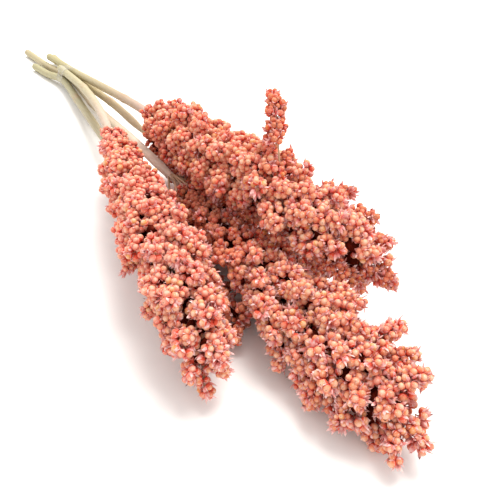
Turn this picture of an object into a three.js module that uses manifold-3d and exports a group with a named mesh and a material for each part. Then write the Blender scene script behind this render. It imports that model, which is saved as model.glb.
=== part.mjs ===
// A bunch of five dried, pink-dyed sorghum stalks, lying down and held by one clear band.
// Each seed head is a dense panicle: short branches stand out of a slim core all round it, and every
// branch is a knobbed cluster of grains. Units are millimetres, +Z is up and +X runs from the cut ends
// of the stems to the tips of the heads. The origin is under the middle of the bunch, on the surface.
import * as THREE from "three";
import { mergeVertices } from "three/addons/utils/BufferGeometryUtils.js";
import Module from "manifold-3d";

// Driving dimensions
const GAP = 0.3; // clearance between pieces that touch
const STEM_RADIUS = { cut: 4.6, neck: 3.7 }; // a stem thins from its cut end to its head
const STEM_SIDES = 8;
const STEM_STEPS = 16;
const CORE_SHARE = 0.66; // core radius as a share of the head's radius
const BRANCH_LENGTH = 27; // usual length and radius of a branch
const BRANCH_RADIUS = 7.6;
const KNOB = { proud: 0.8, dip: 1.5 }; // how far grains stand out and the dips between them sink
const STRAY_SIDES = 6;
const STRAY_RINGS = 6;
const HEAD_RINGS = 54;
const END_CAP = 2; // how far a head's end runs past its axis
const RAY_ORIGIN = 0.94; // share of the axis that the rays start from
const RAY_STEP = 0.5;
const ROD_STEPS = 20; // straight rods that stand for a stem or a core when clearance is tested
const RAY_LIMIT = 1.6; // longest ray, as a share of the head's radius
const GOLDEN_ANGLE = THREE.MathUtils.degToRad(137.508);
const LEAN = [64, 42, 42, 24]; // degrees between a branch and the head's axis, from neck to tip
const RAY_LEAN = [100, 76, 72, 40]; // the same for the rays that find the head's surface
const SHORTENED = [1, 0.82, 0.66]; // lengths tried for a branch that would touch a neighbour
const SPREAD = { turn: 0.25, reach: 0.08, radius: 0.16, length: 0.15 }; // how unlike branches are
const STOUTEST = 0.75; // largest radius of a branch, as a share of the head's radius there
const DEEPEST = 1.5; // longest branch, as a share of the head's radius there
const TIP_DEPTH = 0.25; // how far a branch's tip lies under the head's outline, in its own radii
const NEAR_BRANCHES = 70; // branches with their roots this near a ray's start can meet it
const AXIS_STEPS = 240; // steps in which a head's axis is measured to space its branches
const BAND = { x: -254, width: 16, thickness: 0.8, steps: 28 };
const ORIGIN = [-57.17, 8.025, 0]; // the point of the layout below that becomes the part's origin

// Each head: its axis from the neck to the tip, its radius at each axis point, the number of its
// branches, and the branches and bare stalks that stand out of it, each as root, tip and radius.
const HEADS = {
  lower: {
    seed: 31,
    branches: 98,
    sides: 27,
    axis: [[87, 14, 28], [144, 11, 26], [192, 10, 23], [225, 11, 21.5], [265, 10, 19.5], [298, 11, 12]],
    radii: [9, 16, 22, 24, 22, 12],
    strays: [
      [[260, 14, 28], [263, 42, 34], 6],
      [[281, 11, 26], [290, 29, 33], 7],
      [[226, 4, 26], [239, -14, 9], 6.5],
      [[254, 6, 21], [262, -13, 9], 7],
      [[273, 6, 21], [279, -11, 9], 7],
      [[291, 12, 19], [302, 0, 8], 6],
      [[290, 14, 17], [309, 14, 12], 6.5],
      [[215, 27, 29], [246, 30, 38], 6.5],
      [[268, 17, 22], [277, 36, 32], 6.5],
    ],
    stalks: [],
  },
  upper: {
    seed: 23,
    branches: 106,
    sides: 30,
    axis: [[-2, 30, 47], [58, 32, 53], [138, 34, 54], [182, 37, 51], [212, 49, 43], [232, 57, 33]],
    radii: [12, 24, 26, 25, 20, 10],
    strays: [
      [[168, 30, 62], [145, 42, 89], 5.5],
      [[163, 36, 86], [139, 50, 107], 6],
      [[169, 32, 70], [153, 53, 75], 4.5],
      [[171, 56, 55], [191, 71, 60], 6.5],
      [[191, 58, 49], [208, 74, 52], 6.5],
      [[202, 55, 44], [223, 72, 44], 6.5],
      [[208, 48, 39], [237, 63, 28], 7],
      [[209, 34, 40], [231, 46, 29], 6.5],
    ],
    stalks: [[[170, 34, 62], [157, 40, 92], 1.2]],
  },
  left: {
    seed: 17,
    branches: 94,
    sides: 24,
    axis: [[3, -6, 41], [84, -22, 42], [153, -32, 40], [190, -37, 35], [216, -42, 27], [231, -47, 16]],
    radii: [11, 18, 22, 20, 17, 8],
    strays: [
      [[146, -32, 41], [149, -55, 26], 6],
      [[191, -40, 34], [204, -57, 17], 6],
      [[207, -41, 29], [234, -37, 16], 6.5],
      [[217, -43, 24], [233, -49, 8], 5.5],
      [[182, -41, 37], [182, -57, 22], 6],
      [[68, -14, 43], [75, -39, 37], 6],
    ],
    stalks: [],
  },
  under_left: {
    seed: 7,
    branches: 60,
    sides: 18,
    axis: [[-24, -1, 17], [59, -3, 13], [136, -5, 13], [185, -10, 12], [213, -14, 8]],
    radii: [8, 13, 15, 14, 7],
    strays: [],
    stalks: [],
  },
  under_right: {
    seed: 5,
    branches: 58,
    sides: 18,
    axis: [[-11, 28, 28], [57, 34, 14], [123, 38, 11], [172, 44, 11], [208, 46, 9]],
    radii: [9, 13, 13, 12, 7],
    strays: [],
    stalks: [],
  },
};

// Each stem runs from its cut end, through the band, to the neck of its head.
const STEMS = {
  lower: [[-423, 16, 4.7], [-342, 22, 6], [-256, 30, 10], [-116, 19, 19], [-20, 16, 26], [78, 14, 28.5]],
  upper: [[-345, 29, 15], [-254, 35, 18.4], [-190, 32, 28], [-109, 31, 38], [-44, 31, 45], [-10, 30, 48]],
  left: [[-272, 24, 19], [-240, 24.5, 20], [-154, 18, 30], [-72, 7, 38], [-6, -5, 41]],
  under_left: [
    [-348, 9, 4.7], [-305, 14, 6], [-256, 20.8, 10], [-175, 14, 12.5], [-101, 6, 17], [-32, 0, 18],
  ],
  under_right: [
    [-366, 38, 8], [-310, 38, 9], [-254, 39, 10], [-173, 36, 17], [-105, 33, 24], [-19, 28, 29],
  ],
};

const FINISH = {
  grain: { color: 0xd98a72, roughness: 0.72, metalness: 0 },
  stem: { color: 0xd9c08e, roughness: 0.6, metalness: 0 },
  band: { color: 0xdfe3e2, roughness: 0.25, metalness: 0 },
};

const UP = new THREE.Vector3(0, 0, 1);
const wasm = await Module();
wasm.setup();

// A repeatable draw between 0 and 1 (mulberry32).
function drawFrom(seed) {
  let state = seed >>> 0;
  return () => {
    state = (state + 0x6d2b79f5) >>> 0;
    let t = state;
    t = Math.imul(t ^ (t >>> 15), t | 1);
    t ^= t + Math.imul(t ^ (t >>> 7), t | 61);
    return ((t ^ (t >>> 14)) >>> 0) / 4294967296;
  };
}

function curveThrough(points) {
  return new THREE.CatmullRomCurve3(
    points.map((p) => new THREE.Vector3(...p)),
    false,
    "catmullrom",
    0.5,
  );
}

// The value at share u of a list that is spread evenly over 0 to 1.
function valueAt(values, u) {
  const place = THREE.MathUtils.clamp(u, 0, 1) * (values.length - 1);
  const index = Math.min(Math.floor(place), values.length - 2);
  return THREE.MathUtils.lerp(values[index], values[index + 1], place - index);
}

// Point, direction and two cross directions of a curve at share u.
function frameAt(curve, u) {
  const along = curve.getTangent(u).normalize();
  const side = new THREE.Vector3().crossVectors(UP, along).normalize();
  return { point: curve.getPoint(u), along, side, over: new THREE.Vector3().crossVectors(along, side) };
}

function outwardAt(frame, angle) {
  return frame.side.clone().multiplyScalar(Math.cos(angle)).addScaledVector(frame.over, Math.sin(angle));
}

// The direction that lies at an angle from the axis, on the outward side.
function leanedFrom(frame, outward, degrees) {
  const lean = THREE.MathUtils.degToRad(degrees);
  return frame.along.clone().multiplyScalar(Math.cos(lean)).addScaledVector(outward, Math.sin(lean));
}

function solidOf(geometry) {
  const bare = geometry.clone();
  bare.deleteAttribute("normal");
  bare.deleteAttribute("uv");
  const merged = mergeVertices(bare, 1e-4);
  return new wasm.Manifold(
    new wasm.Mesh({
      numProp: 3,
      vertProperties: merged.attributes.position.array,
      triVerts: new Uint32Array(merged.index.array),
    }),
  );
}

function geometryOf(solid) {
  const mesh = solid.getMesh();
  const geometry = new THREE.BufferGeometry();
  geometry.setAttribute("position", new THREE.BufferAttribute(mesh.vertProperties, 3));
  geometry.setIndex(new THREE.BufferAttribute(mesh.triVerts, 1));
  geometry.computeVertexNormals();
  return geometry;
}

// The one body that holds nearly all the volume, without sealed hollows or loose scraps.
function wholeBody(solid) {
  const bodies = solid.decompose();
  return bodies.reduce((most, body) => (body.volume() > most.volume() ? body : most));
}

// A closed tube along a curve whose radius is a function of the share of its length.
function taperedTube(curve, radiusAt, sides, steps) {
  const geometry = new THREE.CylinderGeometry(1, 1, 1, sides, steps);
  const position = geometry.getAttribute("position");
  const vertex = new THREE.Vector3();
  for (let i = 0; i < position.count; i += 1) {
    vertex.fromBufferAttribute(position, i);
    const u = 0.5 - vertex.y;
    const frame = frameAt(curve, u);
    const radius = radiusAt(u);
    frame.point.addScaledVector(frame.side, vertex.x * radius);
    frame.point.addScaledVector(frame.over, vertex.z * radius);
    position.setXYZ(i, ...frame.point.toArray());
  }
  return geometry;
}

function stemRadius(u) {
  return THREE.MathUtils.lerp(STEM_RADIUS.cut, STEM_RADIUS.neck, u);
}

function stemTube(points, clearance) {
  return taperedTube(curveThrough(points), (u) => stemRadius(u) + clearance, STEM_SIDES, STEM_STEPS);
}

// Radius of a branch at share s of its length from root to tip, as a share of its full radius.
function branchProfile(s) {
  return Math.sin(Math.PI * Math.pow(s, 0.85)) ** 0.62;
}

// How far the surface point of a ring and column is raised or sunk: every third point stands proud as
// a grain, ringed by six dips.
function knobAt(ring, column) {
  return (column + 2 * ring) % 3 === 0 ? KNOB.proud : -KNOB.dip;
}

// A branch that stands free of the head: a knobbed spindle in rings that turn by half a step.
function strayGeometry(branch) {
  const geometry = new THREE.SphereGeometry(1, STRAY_SIDES, STRAY_RINGS);
  const position = geometry.getAttribute("position");
  const along = branch.tip.clone().sub(branch.root);
  const length = along.length();
  along.normalize();
  const side = new THREE.Vector3().crossVectors(UP, along).normalize();
  const over = new THREE.Vector3().crossVectors(along, side);
  const columns = STRAY_SIDES + 1;
  for (let i = 0; i < position.count; i += 1) {
    const ring = Math.floor(i / columns);
    const column = i % columns;
    const s = 1 - ring / STRAY_RINGS;
    const angle = ((column + ring / 2) * 2 * Math.PI) / STRAY_SIDES;
    const round = branchProfile(s);
    const radius = round < 1e-6 ? 0 : branch.radius * round + knobAt(ring, column) * round;
    const point = branch.root.clone().addScaledVector(along, s * length);
    point.addScaledVector(side, Math.cos(angle) * radius);
    point.addScaledVector(over, Math.sin(angle) * radius);
    position.setXYZ(i, ...point.toArray());
  }
  return geometry;
}

// Least distance between the segments p1-q1 and p2-q2.
function segmentDistance(p1, q1, p2, q2) {
  const d1 = q1.clone().sub(p1);
  const d2 = q2.clone().sub(p2);
  const r = p1.clone().sub(p2);
  const a = d1.dot(d1);
  const e = d2.dot(d2);
  const b = d1.dot(d2);
  const c = d1.dot(r);
  const f = d2.dot(r);
  const area = a * e - b * b;
  let s = area > 1e-9 ? THREE.MathUtils.clamp((b * f - c * e) / area, 0, 1) : 0;
  const t = THREE.MathUtils.clamp((b * s + f) / e, 0, 1);
  s = THREE.MathUtils.clamp((b * t - c) / a, 0, 1);
  return p1.clone().addScaledVector(d1, s).distanceTo(p2.clone().addScaledVector(d2, t));
}

// A branch's space as a rounded rod, with its round ends inside its own length.
function rodOf(branch) {
  const along = branch.tip.clone().sub(branch.root).normalize();
  return {
    from: branch.root.clone().addScaledVector(along, branch.radius * 0.5),
    to: branch.tip.clone().addScaledVector(along, -branch.radius * 0.9),
    radius: branch.radius,
  };
}

function isClear(rod, others) {
  return others.every((o) => segmentDistance(rod.from, rod.to, o.from, o.to) >= rod.radius + o.radius + GAP);
}

// Rods along a curve, for testing what comes near it.
function rodsAlong(points, radius, count) {
  const curve = curveThrough(points);
  const rods = [];
  for (let i = 0; i < count; i += 1) {
    const from = curve.getPoint(i / count);
    const to = curve.getPoint((i + 1) / count);
    rods.push({ from, to, radius: radius((i + 0.5) / count) });
  }
  return rods;
}

// Shares of the axis that carry the branches, closer together where the head is fat.
function branchShares(head, curve) {
  const sums = [0];
  for (let i = 0; i < AXIS_STEPS; i += 1) {
    const run = curve.getPoint((i + 1) / AXIS_STEPS).distanceTo(curve.getPoint(i / AXIS_STEPS));
    sums.push(sums[i] + run * valueAt(head.radii, (i + 0.5) / AXIS_STEPS));
  }
  const shares = [];
  for (let k = 0; k < head.branches; k += 1) {
    const wanted = ((k + 0.5) / head.branches) * sums[AXIS_STEPS];
    const i = sums.findIndex((sum) => sum > wanted) - 1;
    shares.push((i + (wanted - sums[i]) / (sums[i + 1] - sums[i])) / AXIS_STEPS);
  }
  return shares;
}

// The branches of one head, each shortened or left out where it would touch what is already placed.
function branchesOf(head, placed) {
  const draw = drawFrom(head.seed);
  const drift = (amount) => amount * (2 * draw() - 1);
  const curve = curveThrough(head.axis);
  const branches = [];
  branchShares(head, curve).forEach((share, k) => {
    const frame = frameAt(curve, share);
    const outward = outwardAt(frame, k * GOLDEN_ANGLE + drift(SPREAD.turn));
    const reach = valueAt(head.radii, share) * (1 + drift(SPREAD.reach));
    const radius = Math.min(BRANCH_RADIUS * (1 + drift(SPREAD.radius)), reach * STOUTEST);
    const length = Math.min(BRANCH_LENGTH * (1 + drift(SPREAD.length)), reach * DEEPEST);
    const along = leanedFrom(frame, outward, valueAt(LEAN, share));
    const surface = frame.point.clone().addScaledVector(outward, reach - radius * TIP_DEPTH);
    const root = surface.clone().addScaledVector(along, -length);
    for (const part of SHORTENED) {
      const branch = { root, tip: root.clone().lerp(surface, part), radius: radius * part ** 0.5 };
      if (isClear(rodOf(branch), placed)) {
        branches.push(branch);
        break;
      }
    }
  });
  return branches;
}

// Whether a point lies inside a branch.
function isInside(point, branch) {
  const along = branch.tip.clone().sub(branch.root);
  const length = along.length();
  const from = point.clone().sub(branch.root);
  const s = from.dot(along) / (length * length);
  if (s <= 0 || s >= 1) return false;
  return from.addScaledVector(along, -s).length() <= branch.radius * branchProfile(s);
}

// How far the branches reach from the axis along a ray, or the core's radius where none is met.
function reachOf(branches, start, direction, least, most) {
  const point = new THREE.Vector3();
  for (let reach = most; reach > least; reach -= RAY_STEP) {
    point.copy(start).addScaledVector(direction, reach);
    if (branches.some((branch) => isInside(point, branch))) return reach;
  }
  return least;
}

// The head's knobbed surface: from every place on the axis rays lean forward as the branches do, and
// each surface point lies where its ray leaves the branches.
function headGeometry(head, branches, grow) {
  const curve = curveThrough(head.axis);
  const geometry = new THREE.SphereGeometry(1, head.sides, HEAD_RINGS);
  const position = geometry.getAttribute("position");
  const columns = head.sides + 1;
  for (let i = 0; i < position.count; i += 1) {
    const ring = HEAD_RINGS - Math.floor(i / columns);
    const column = i % columns;
    const isPole = ring === 0 || ring === HEAD_RINGS;
    const share = ring / HEAD_RINGS;
    const frame = frameAt(curve, share);
    const angle = ((column + ring / 2) * 2 * Math.PI) / head.sides;
    const direction = leanedFrom(frame, outwardAt(frame, angle), valueAt(RAY_LEAN, share));
    const radius = valueAt(head.radii, share);
    if (isPole) {
      const end = ring === 0 ? -END_CAP : END_CAP;
      frame.point.addScaledVector(frame.along, end + Math.sign(end) * grow);
    } else {
      frame.point.copy(curve.getPoint(share * RAY_ORIGIN));
      const near = branches.filter((branch) => branch.root.distanceTo(frame.point) < NEAR_BRANCHES);
      const reach = reachOf(near, frame.point, direction, radius * CORE_SHARE, radius * RAY_LIMIT);
      frame.point.addScaledVector(direction, reach + knobAt(ring, column) + grow);
    }
    position.setXYZ(i, ...frame.point.toArray());
  }
  return geometry;
}

function strayOf([root, tip, radius]) {
  return { root: new THREE.Vector3(...root), tip: new THREE.Vector3(...tip), radius };
}

// The head with the branches and stalks that stand out of it, all grown by a distance.
function headSolid(head, branches, grow) {
  let solid = solidOf(headGeometry(head, branches, grow));
  head.stalks.forEach(([root, tip, radius]) => {
    const line = new THREE.LineCurve3(new THREE.Vector3(...root), new THREE.Vector3(...tip));
    solid = solid.add(solidOf(taperedTube(line, () => radius + grow, STRAY_SIDES, 1)));
  });
  head.strays.map(strayOf).forEach((stray) => {
    stray.radius += grow;
    solid = solid.add(solidOf(strayGeometry(stray)));
  });
  return solid;
}

// The head cut clear of its neighbours and of the surface that it lies on.
function trimmed(solid, neighbours) {
  const above = new THREE.BoxGeometry(2000, 2000, 400).translate(0, 0, 200);
  let rest = solid.intersect(solidOf(above));
  neighbours.forEach((neighbour) => {
    rest = rest.subtract(neighbour);
  });
  return wholeBody(rest);
}

// Point of a curve at a given x, on a curve whose x only grows.
function pointAtX(curve, x) {
  let low = 0;
  let high = 1;
  for (let i = 0; i < 40; i += 1) {
    const middle = (low + high) / 2;
    if (curve.getPoint(middle).x < x) low = middle;
    else high = middle;
  }
  return curve.getPoint(low);
}

// Outline around round sections at the given centres, at a distance from them.
function outlineAround(centres, distance) {
  const points = [];
  for (let i = 0; i < BAND.steps; i += 1) {
    const angle = (i / BAND.steps) * 2 * Math.PI;
    const normal = new THREE.Vector2(Math.cos(angle), Math.sin(angle));
    const furthest = centres.reduce((most, c) => (c.dot(normal) > most.dot(normal) ? c : most));
    points.push(furthest.clone().addScaledVector(normal, distance));
  }
  return points;
}

// The band: a thin loop drawn round all the stems where they cross.
function bandGeometry() {
  const ends = [BAND.x - BAND.width / 2, BAND.x, BAND.x + BAND.width / 2];
  const centres = [];
  Object.values(STEMS).forEach((points) => {
    const curve = curveThrough(points);
    ends.filter((x) => x > points[0][0]).forEach((x) => {
      const point = pointAtX(curve, x);
      centres.push(new THREE.Vector2(point.y, point.z));
    });
  });
  const inner = STEM_RADIUS.cut + GAP;
  const outline = new THREE.Shape(outlineAround(centres, inner + BAND.thickness));
  outline.holes.push(new THREE.Path(outlineAround(centres, inner)));
  const loop = new THREE.ExtrudeGeometry(outline, { depth: BAND.width, bevelEnabled: false });
  const toBunch = new THREE.Matrix4().makeBasis(
    new THREE.Vector3(0, 1, 0),
    new THREE.Vector3(0, 0, 1),
    new THREE.Vector3(1, 0, 0),
  );
  return loop.applyMatrix4(toBunch).translate(ends[0], 0, 0);
}

function meshOf(name, geometry, finish) {
  const mesh = new THREE.Mesh(geometry, new THREE.MeshStandardMaterial(finish));
  mesh.name = name;
  return mesh;
}

const bunch = new THREE.Group();
const stemNames = Object.keys(STEMS);
const stemRods = Object.fromEntries(
  stemNames.map((name) => [name, rodsAlong(STEMS[name], stemRadius, ROD_STEPS)]),
);
const coreRods = Object.fromEntries(
  Object.keys(HEADS).map((name) => [
    name,
    rodsAlong(HEADS[name].axis, (u) => valueAt(HEADS[name].radii, u) * CORE_SHARE, ROD_STEPS),
  ]),
);

for (const name of stemNames) {
  bunch.add(meshOf("stem_" + name, stemTube(STEMS[name], 0), FINISH.stem));
}

const stemSpaces = Object.fromEntries(stemNames.map((name) => [name, solidOf(stemTube(STEMS[name], GAP))]));
const placed = [];
const headSpaces = [];
for (const [name, head] of Object.entries(HEADS)) {
  const others = Object.keys(HEADS).filter((other) => other !== name);
  const near = placed.concat(...others.map((other) => [...stemRods[other], ...coreRods[other]]));
  const branches = branchesOf(head, near);
  placed.push(...branches.map(rodOf));
  const solid = trimmed(headSolid(head, branches, 0), [...headSpaces, ...Object.values(stemSpaces)]);
  headSpaces.push(headSolid(head, branches, GAP));
  bunch.add(meshOf("head_" + name, geometryOf(solid), FINISH.grain));
}
bunch.add(meshOf("band", bandGeometry(), FINISH.band));
bunch.position.set(...ORIGIN.map((value) => -value));

export default bunch;
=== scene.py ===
"""A tied bunch of five dried, pink-dyed sorghum heads, dressed and lit for its picture.

Lengths in the plan of the bunch are millimetres in the plan's own layout. Finished pieces are in
metres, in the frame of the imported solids.
"""

import logging
import math
from dataclasses import dataclass, field
from enum import Enum
from functools import cached_property
from itertools import product
from typing import Callable, Sequence

import bmesh
import bpy
import numpy as np
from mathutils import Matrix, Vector, noise


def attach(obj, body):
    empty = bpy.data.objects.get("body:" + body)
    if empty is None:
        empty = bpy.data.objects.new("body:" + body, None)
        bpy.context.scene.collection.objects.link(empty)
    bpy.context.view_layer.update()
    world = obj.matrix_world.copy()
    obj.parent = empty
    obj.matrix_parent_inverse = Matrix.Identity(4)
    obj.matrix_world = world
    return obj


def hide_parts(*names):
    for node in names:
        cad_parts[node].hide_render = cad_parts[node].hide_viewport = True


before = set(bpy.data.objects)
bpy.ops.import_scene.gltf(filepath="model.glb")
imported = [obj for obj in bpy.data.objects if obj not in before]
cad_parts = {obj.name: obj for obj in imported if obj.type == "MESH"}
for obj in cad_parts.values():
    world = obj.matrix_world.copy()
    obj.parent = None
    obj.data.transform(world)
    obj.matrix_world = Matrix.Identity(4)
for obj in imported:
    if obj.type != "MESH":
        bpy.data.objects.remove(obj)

log = logging.getLogger("bunch")

MM = 0.001
ORIGIN = np.array([-57.17, 8.025, 0.0])  # the point of the layout that is the frame's origin
BOX_LOW = np.array([-423.34, -57.95, 0.0])  # the solids' box in the layout
BOX_HIGH = np.array([309.0, 74.0, 108.2])
GOLDEN_ANGLE = math.radians(137.508)
TURN = 2 * math.pi
ROLL = 6.28  # radians, all but a full turn
GRID_CELL = 4.0  # more than the least distance between two grains
UP = np.array([0.0, 0.0, 1.0])
AHEAD = np.array([1.0, 0.0, 0.0])
WORD = 0xFFFFFFFF  # the largest whole number of 32 bits
TONE = "tone"  # names of what the finishes read
GRAIN_MAP = "grain_map"
STEM_PLACE = "stem_place"
BAND_PLACE = "band_place"
Colour = tuple[float, float, float]
Triple = tuple[float, float, float]
Sprout = tuple[Triple, Triple, float]  # root, tip and radius


def placed(points: np.ndarray) -> np.ndarray:
    """Bring points of the layout, in millimetres, into the frame, in metres."""
    return (np.asarray(points, float) - ORIGIN) * MM


def unit(vectors: np.ndarray) -> np.ndarray:
    """Scale each vector to a length of one."""
    return vectors / np.maximum(np.linalg.norm(vectors, axis=-1, keepdims=True), 1e-12)


class Draws:
    """Repeatable draws between 0 and 1, the same ones that laid out the solids' branches."""

    def __init__(self, seed: int) -> None:
        """Start the draws from a seed."""
        self.state = seed & WORD

    def draw(self) -> float:
        """Give the next number."""
        self.state = (self.state + 0x6D2B79F5) & WORD
        t = self.state
        t = ((t ^ (t >> 15)) * (t | 1)) & WORD
        t ^= (t + ((t ^ (t >> 7)) * (t | 61) & WORD)) & WORD
        return ((t ^ (t >> 14)) & WORD) / (WORD + 1)

    def drift(self, amount: float) -> float:
        """Give a number between minus and plus an amount."""
        return amount * (2 * self.draw() - 1)


@dataclass(frozen=True)
class Path:
    """A smooth line through points.

    Attributes:
        points: The points that it passes, in the layout.
    """

    points: tuple[Triple, ...]

    def span(self, share: float) -> tuple[np.ndarray, float]:
        """Find the four points that shape the line at a share of it.

        Args:
            share: Where on the line, from 0 to 1.

        Returns:
            The four points, and the share of the span between the middle two.
        """
        p = np.array(self.points, float)
        last = len(p) - 1
        place = min(max(share, 0.0), 1.0) * last
        i = min(int(place), last - 1)
        before = p[i - 1] if i > 0 else 2 * p[0] - p[1]
        after = p[i + 2] if i + 2 <= last else 2 * p[last] - p[last - 1]
        return np.array([before, p[i], p[i + 1], after]), place - i

    def at(self, share: float) -> np.ndarray:
        """Give the point at a share of the line."""
        (a, b, c, d), t = self.span(share)
        m0, m1 = 0.5 * (c - a), 0.5 * (d - b)
        rise = (2 * b - 2 * c + m0 + m1) * t**3
        return rise + (-3 * b + 3 * c - 2 * m0 - m1) * t**2 + m0 * t + b

    def along(self, share: float) -> np.ndarray:
        """Give the line's direction at a share of it."""
        low, high = max(share - 1e-4, 0.0), min(share + 1e-4, 1.0)
        return unit(self.at(high) - self.at(low))

    def cross(self, share: float) -> tuple[np.ndarray, np.ndarray, np.ndarray]:
        """Give the line's direction and two directions across it at a share of it."""
        along = self.along(share)
        side = unit(np.cross(UP, along))
        return along, side, np.cross(along, side)

    def sampled(self, count: int) -> np.ndarray:
        """Give points evenly spread over the shares of the line."""
        return np.array([self.at(i / (count - 1)) for i in range(count)])


def value_at(values: Sequence[float], share: float) -> float:
    """Read a list that is spread evenly over 0 to 1 at a share."""
    return float(np.interp(share, np.linspace(0, 1, len(values)), values))


@dataclass(frozen=True)
class Rod:
    """A rounded rod that stands for the space of a branch, a core or a stem.

    Attributes:
        start: One end of its middle line.
        end: The other end.
        radius: Its radius.
    """

    start: np.ndarray
    end: np.ndarray
    radius: float


def clear_of(rods: Sequence[Rod], rod: Rod, gap: float) -> bool:
    """Say whether a rod keeps a gap from every one of some rods.

    Args:
        rods: The rods that are there.
        rod: The rod to test.
        gap: The least distance between the surfaces.

    Returns:
        True if it is clear of them all.
    """
    starts = np.array([other.start for other in rods])
    courses = np.array([other.end for other in rods]) - starts
    radii = np.array([other.radius for other in rods])
    course, away = rod.end - rod.start, rod.start - starts
    a, e = course @ course, (courses * courses).sum(1)
    b, c, f = courses @ course, away @ course, (courses * away).sum(1)
    area = a * e - b * b
    skew = area > 1e-9
    own = np.where(skew, np.clip((b * f - c * e) / np.where(skew, area, 1), 0, 1), 0)
    theirs = np.clip((b * own + f) / e, 0, 1)
    own = np.clip((b * theirs - c) / a, 0, 1)
    apart = np.linalg.norm(rod.start + course * own[:, None] - starts - courses * theirs[:, None], axis=1)
    return bool((apart >= rod.radius + radii + gap).all())


@dataclass(frozen=True)
class Branch:
    """One short branch of a head: a spindle that grains sit on.

    Attributes:
        root: Where it leaves the head's inside.
        tip: Its outer end.
        radius: Its greatest radius.
        stray: Whether it stands out of the head.
    """

    root: np.ndarray
    tip: np.ndarray
    radius: float
    stray: bool = False

    NEAR = 48.0  # branches with their middles further apart than this can't touch
    ROUND = (0.5, 0.9)  # its round ends at the root and the tip, in radii

    @property
    def length(self) -> float:
        """Give its length."""
        return float(np.linalg.norm(self.tip - self.root))

    @property
    def along(self) -> np.ndarray:
        """Give its direction from root to tip."""
        return (self.tip - self.root) / self.length

    def is_near(self, other: "Branch") -> bool:
        """Say whether another branch is near enough to touch it."""
        return float(np.linalg.norm(self.root + self.tip - other.root - other.tip)) / 2 < self.NEAR

    def rod(self) -> Rod:
        """Give its space as a rod with its round ends inside its length."""
        low, high = self.ROUND
        start = self.root + self.along * self.radius * low
        return Rod(start, self.tip - self.along * self.radius * high, self.radius)

    def across(self) -> tuple[np.ndarray, np.ndarray]:
        """Give two directions across it, at right angles to each other."""
        along = self.along
        side = unit(np.cross(UP, along) if abs(along[2]) < 0.95 else AHEAD)
        return side, np.cross(along, side)


def spindle_profile(share: np.ndarray | float) -> np.ndarray | float:
    """Give a branch's radius at a share of its length, as a share of its greatest radius."""
    return np.sin(np.pi * np.clip(share, 0, 1) ** 0.85).clip(0) ** 0.62


STEM_RADIUS = (4.6, 3.7)  # at the cut end and at the neck
GAP = 0.3  # clearance between pieces that touch


def stem_radius(share: float) -> float:
    """Give a stem's radius at a share of its length."""
    return STEM_RADIUS[0] + (STEM_RADIUS[1] - STEM_RADIUS[0]) * share


def rods_along(path: Path, radius_at: Callable[[float], float], count: int = 20) -> list[Rod]:
    """Give the space round a line as straight rods.

    Args:
        path: The line.
        radius_at: Its radius at a share of its length.
        count: The number of rods.

    Returns:
        The rods.
    """
    line = path.sampled(count + 1)
    return [Rod(line[i], line[i + 1], radius_at((i + 0.5) / count)) for i in range(count)]


@dataclass(frozen=True)
class StemPlan:
    """The course of one stem.

    Attributes:
        name: Its name in the bunch.
        points: The points of its middle line, from the cut end to the neck.
    """

    name: str
    points: tuple[Triple, ...]

    @property
    def path(self) -> Path:
        """Give its middle line."""
        return Path(self.points)

    def rods(self) -> list[Rod]:
        """Give its space as straight rods."""
        return rods_along(self.path, stem_radius)


class Shape(Enum):
    """The small shapes that a head repeats."""

    GRAIN = "grain"
    PLAIN_GRAIN = "plain_grain"
    HUSK = "husk"
    PETAL = "petal"
    SPINDLE = "spindle"
    STALK = "stalk"


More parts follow.
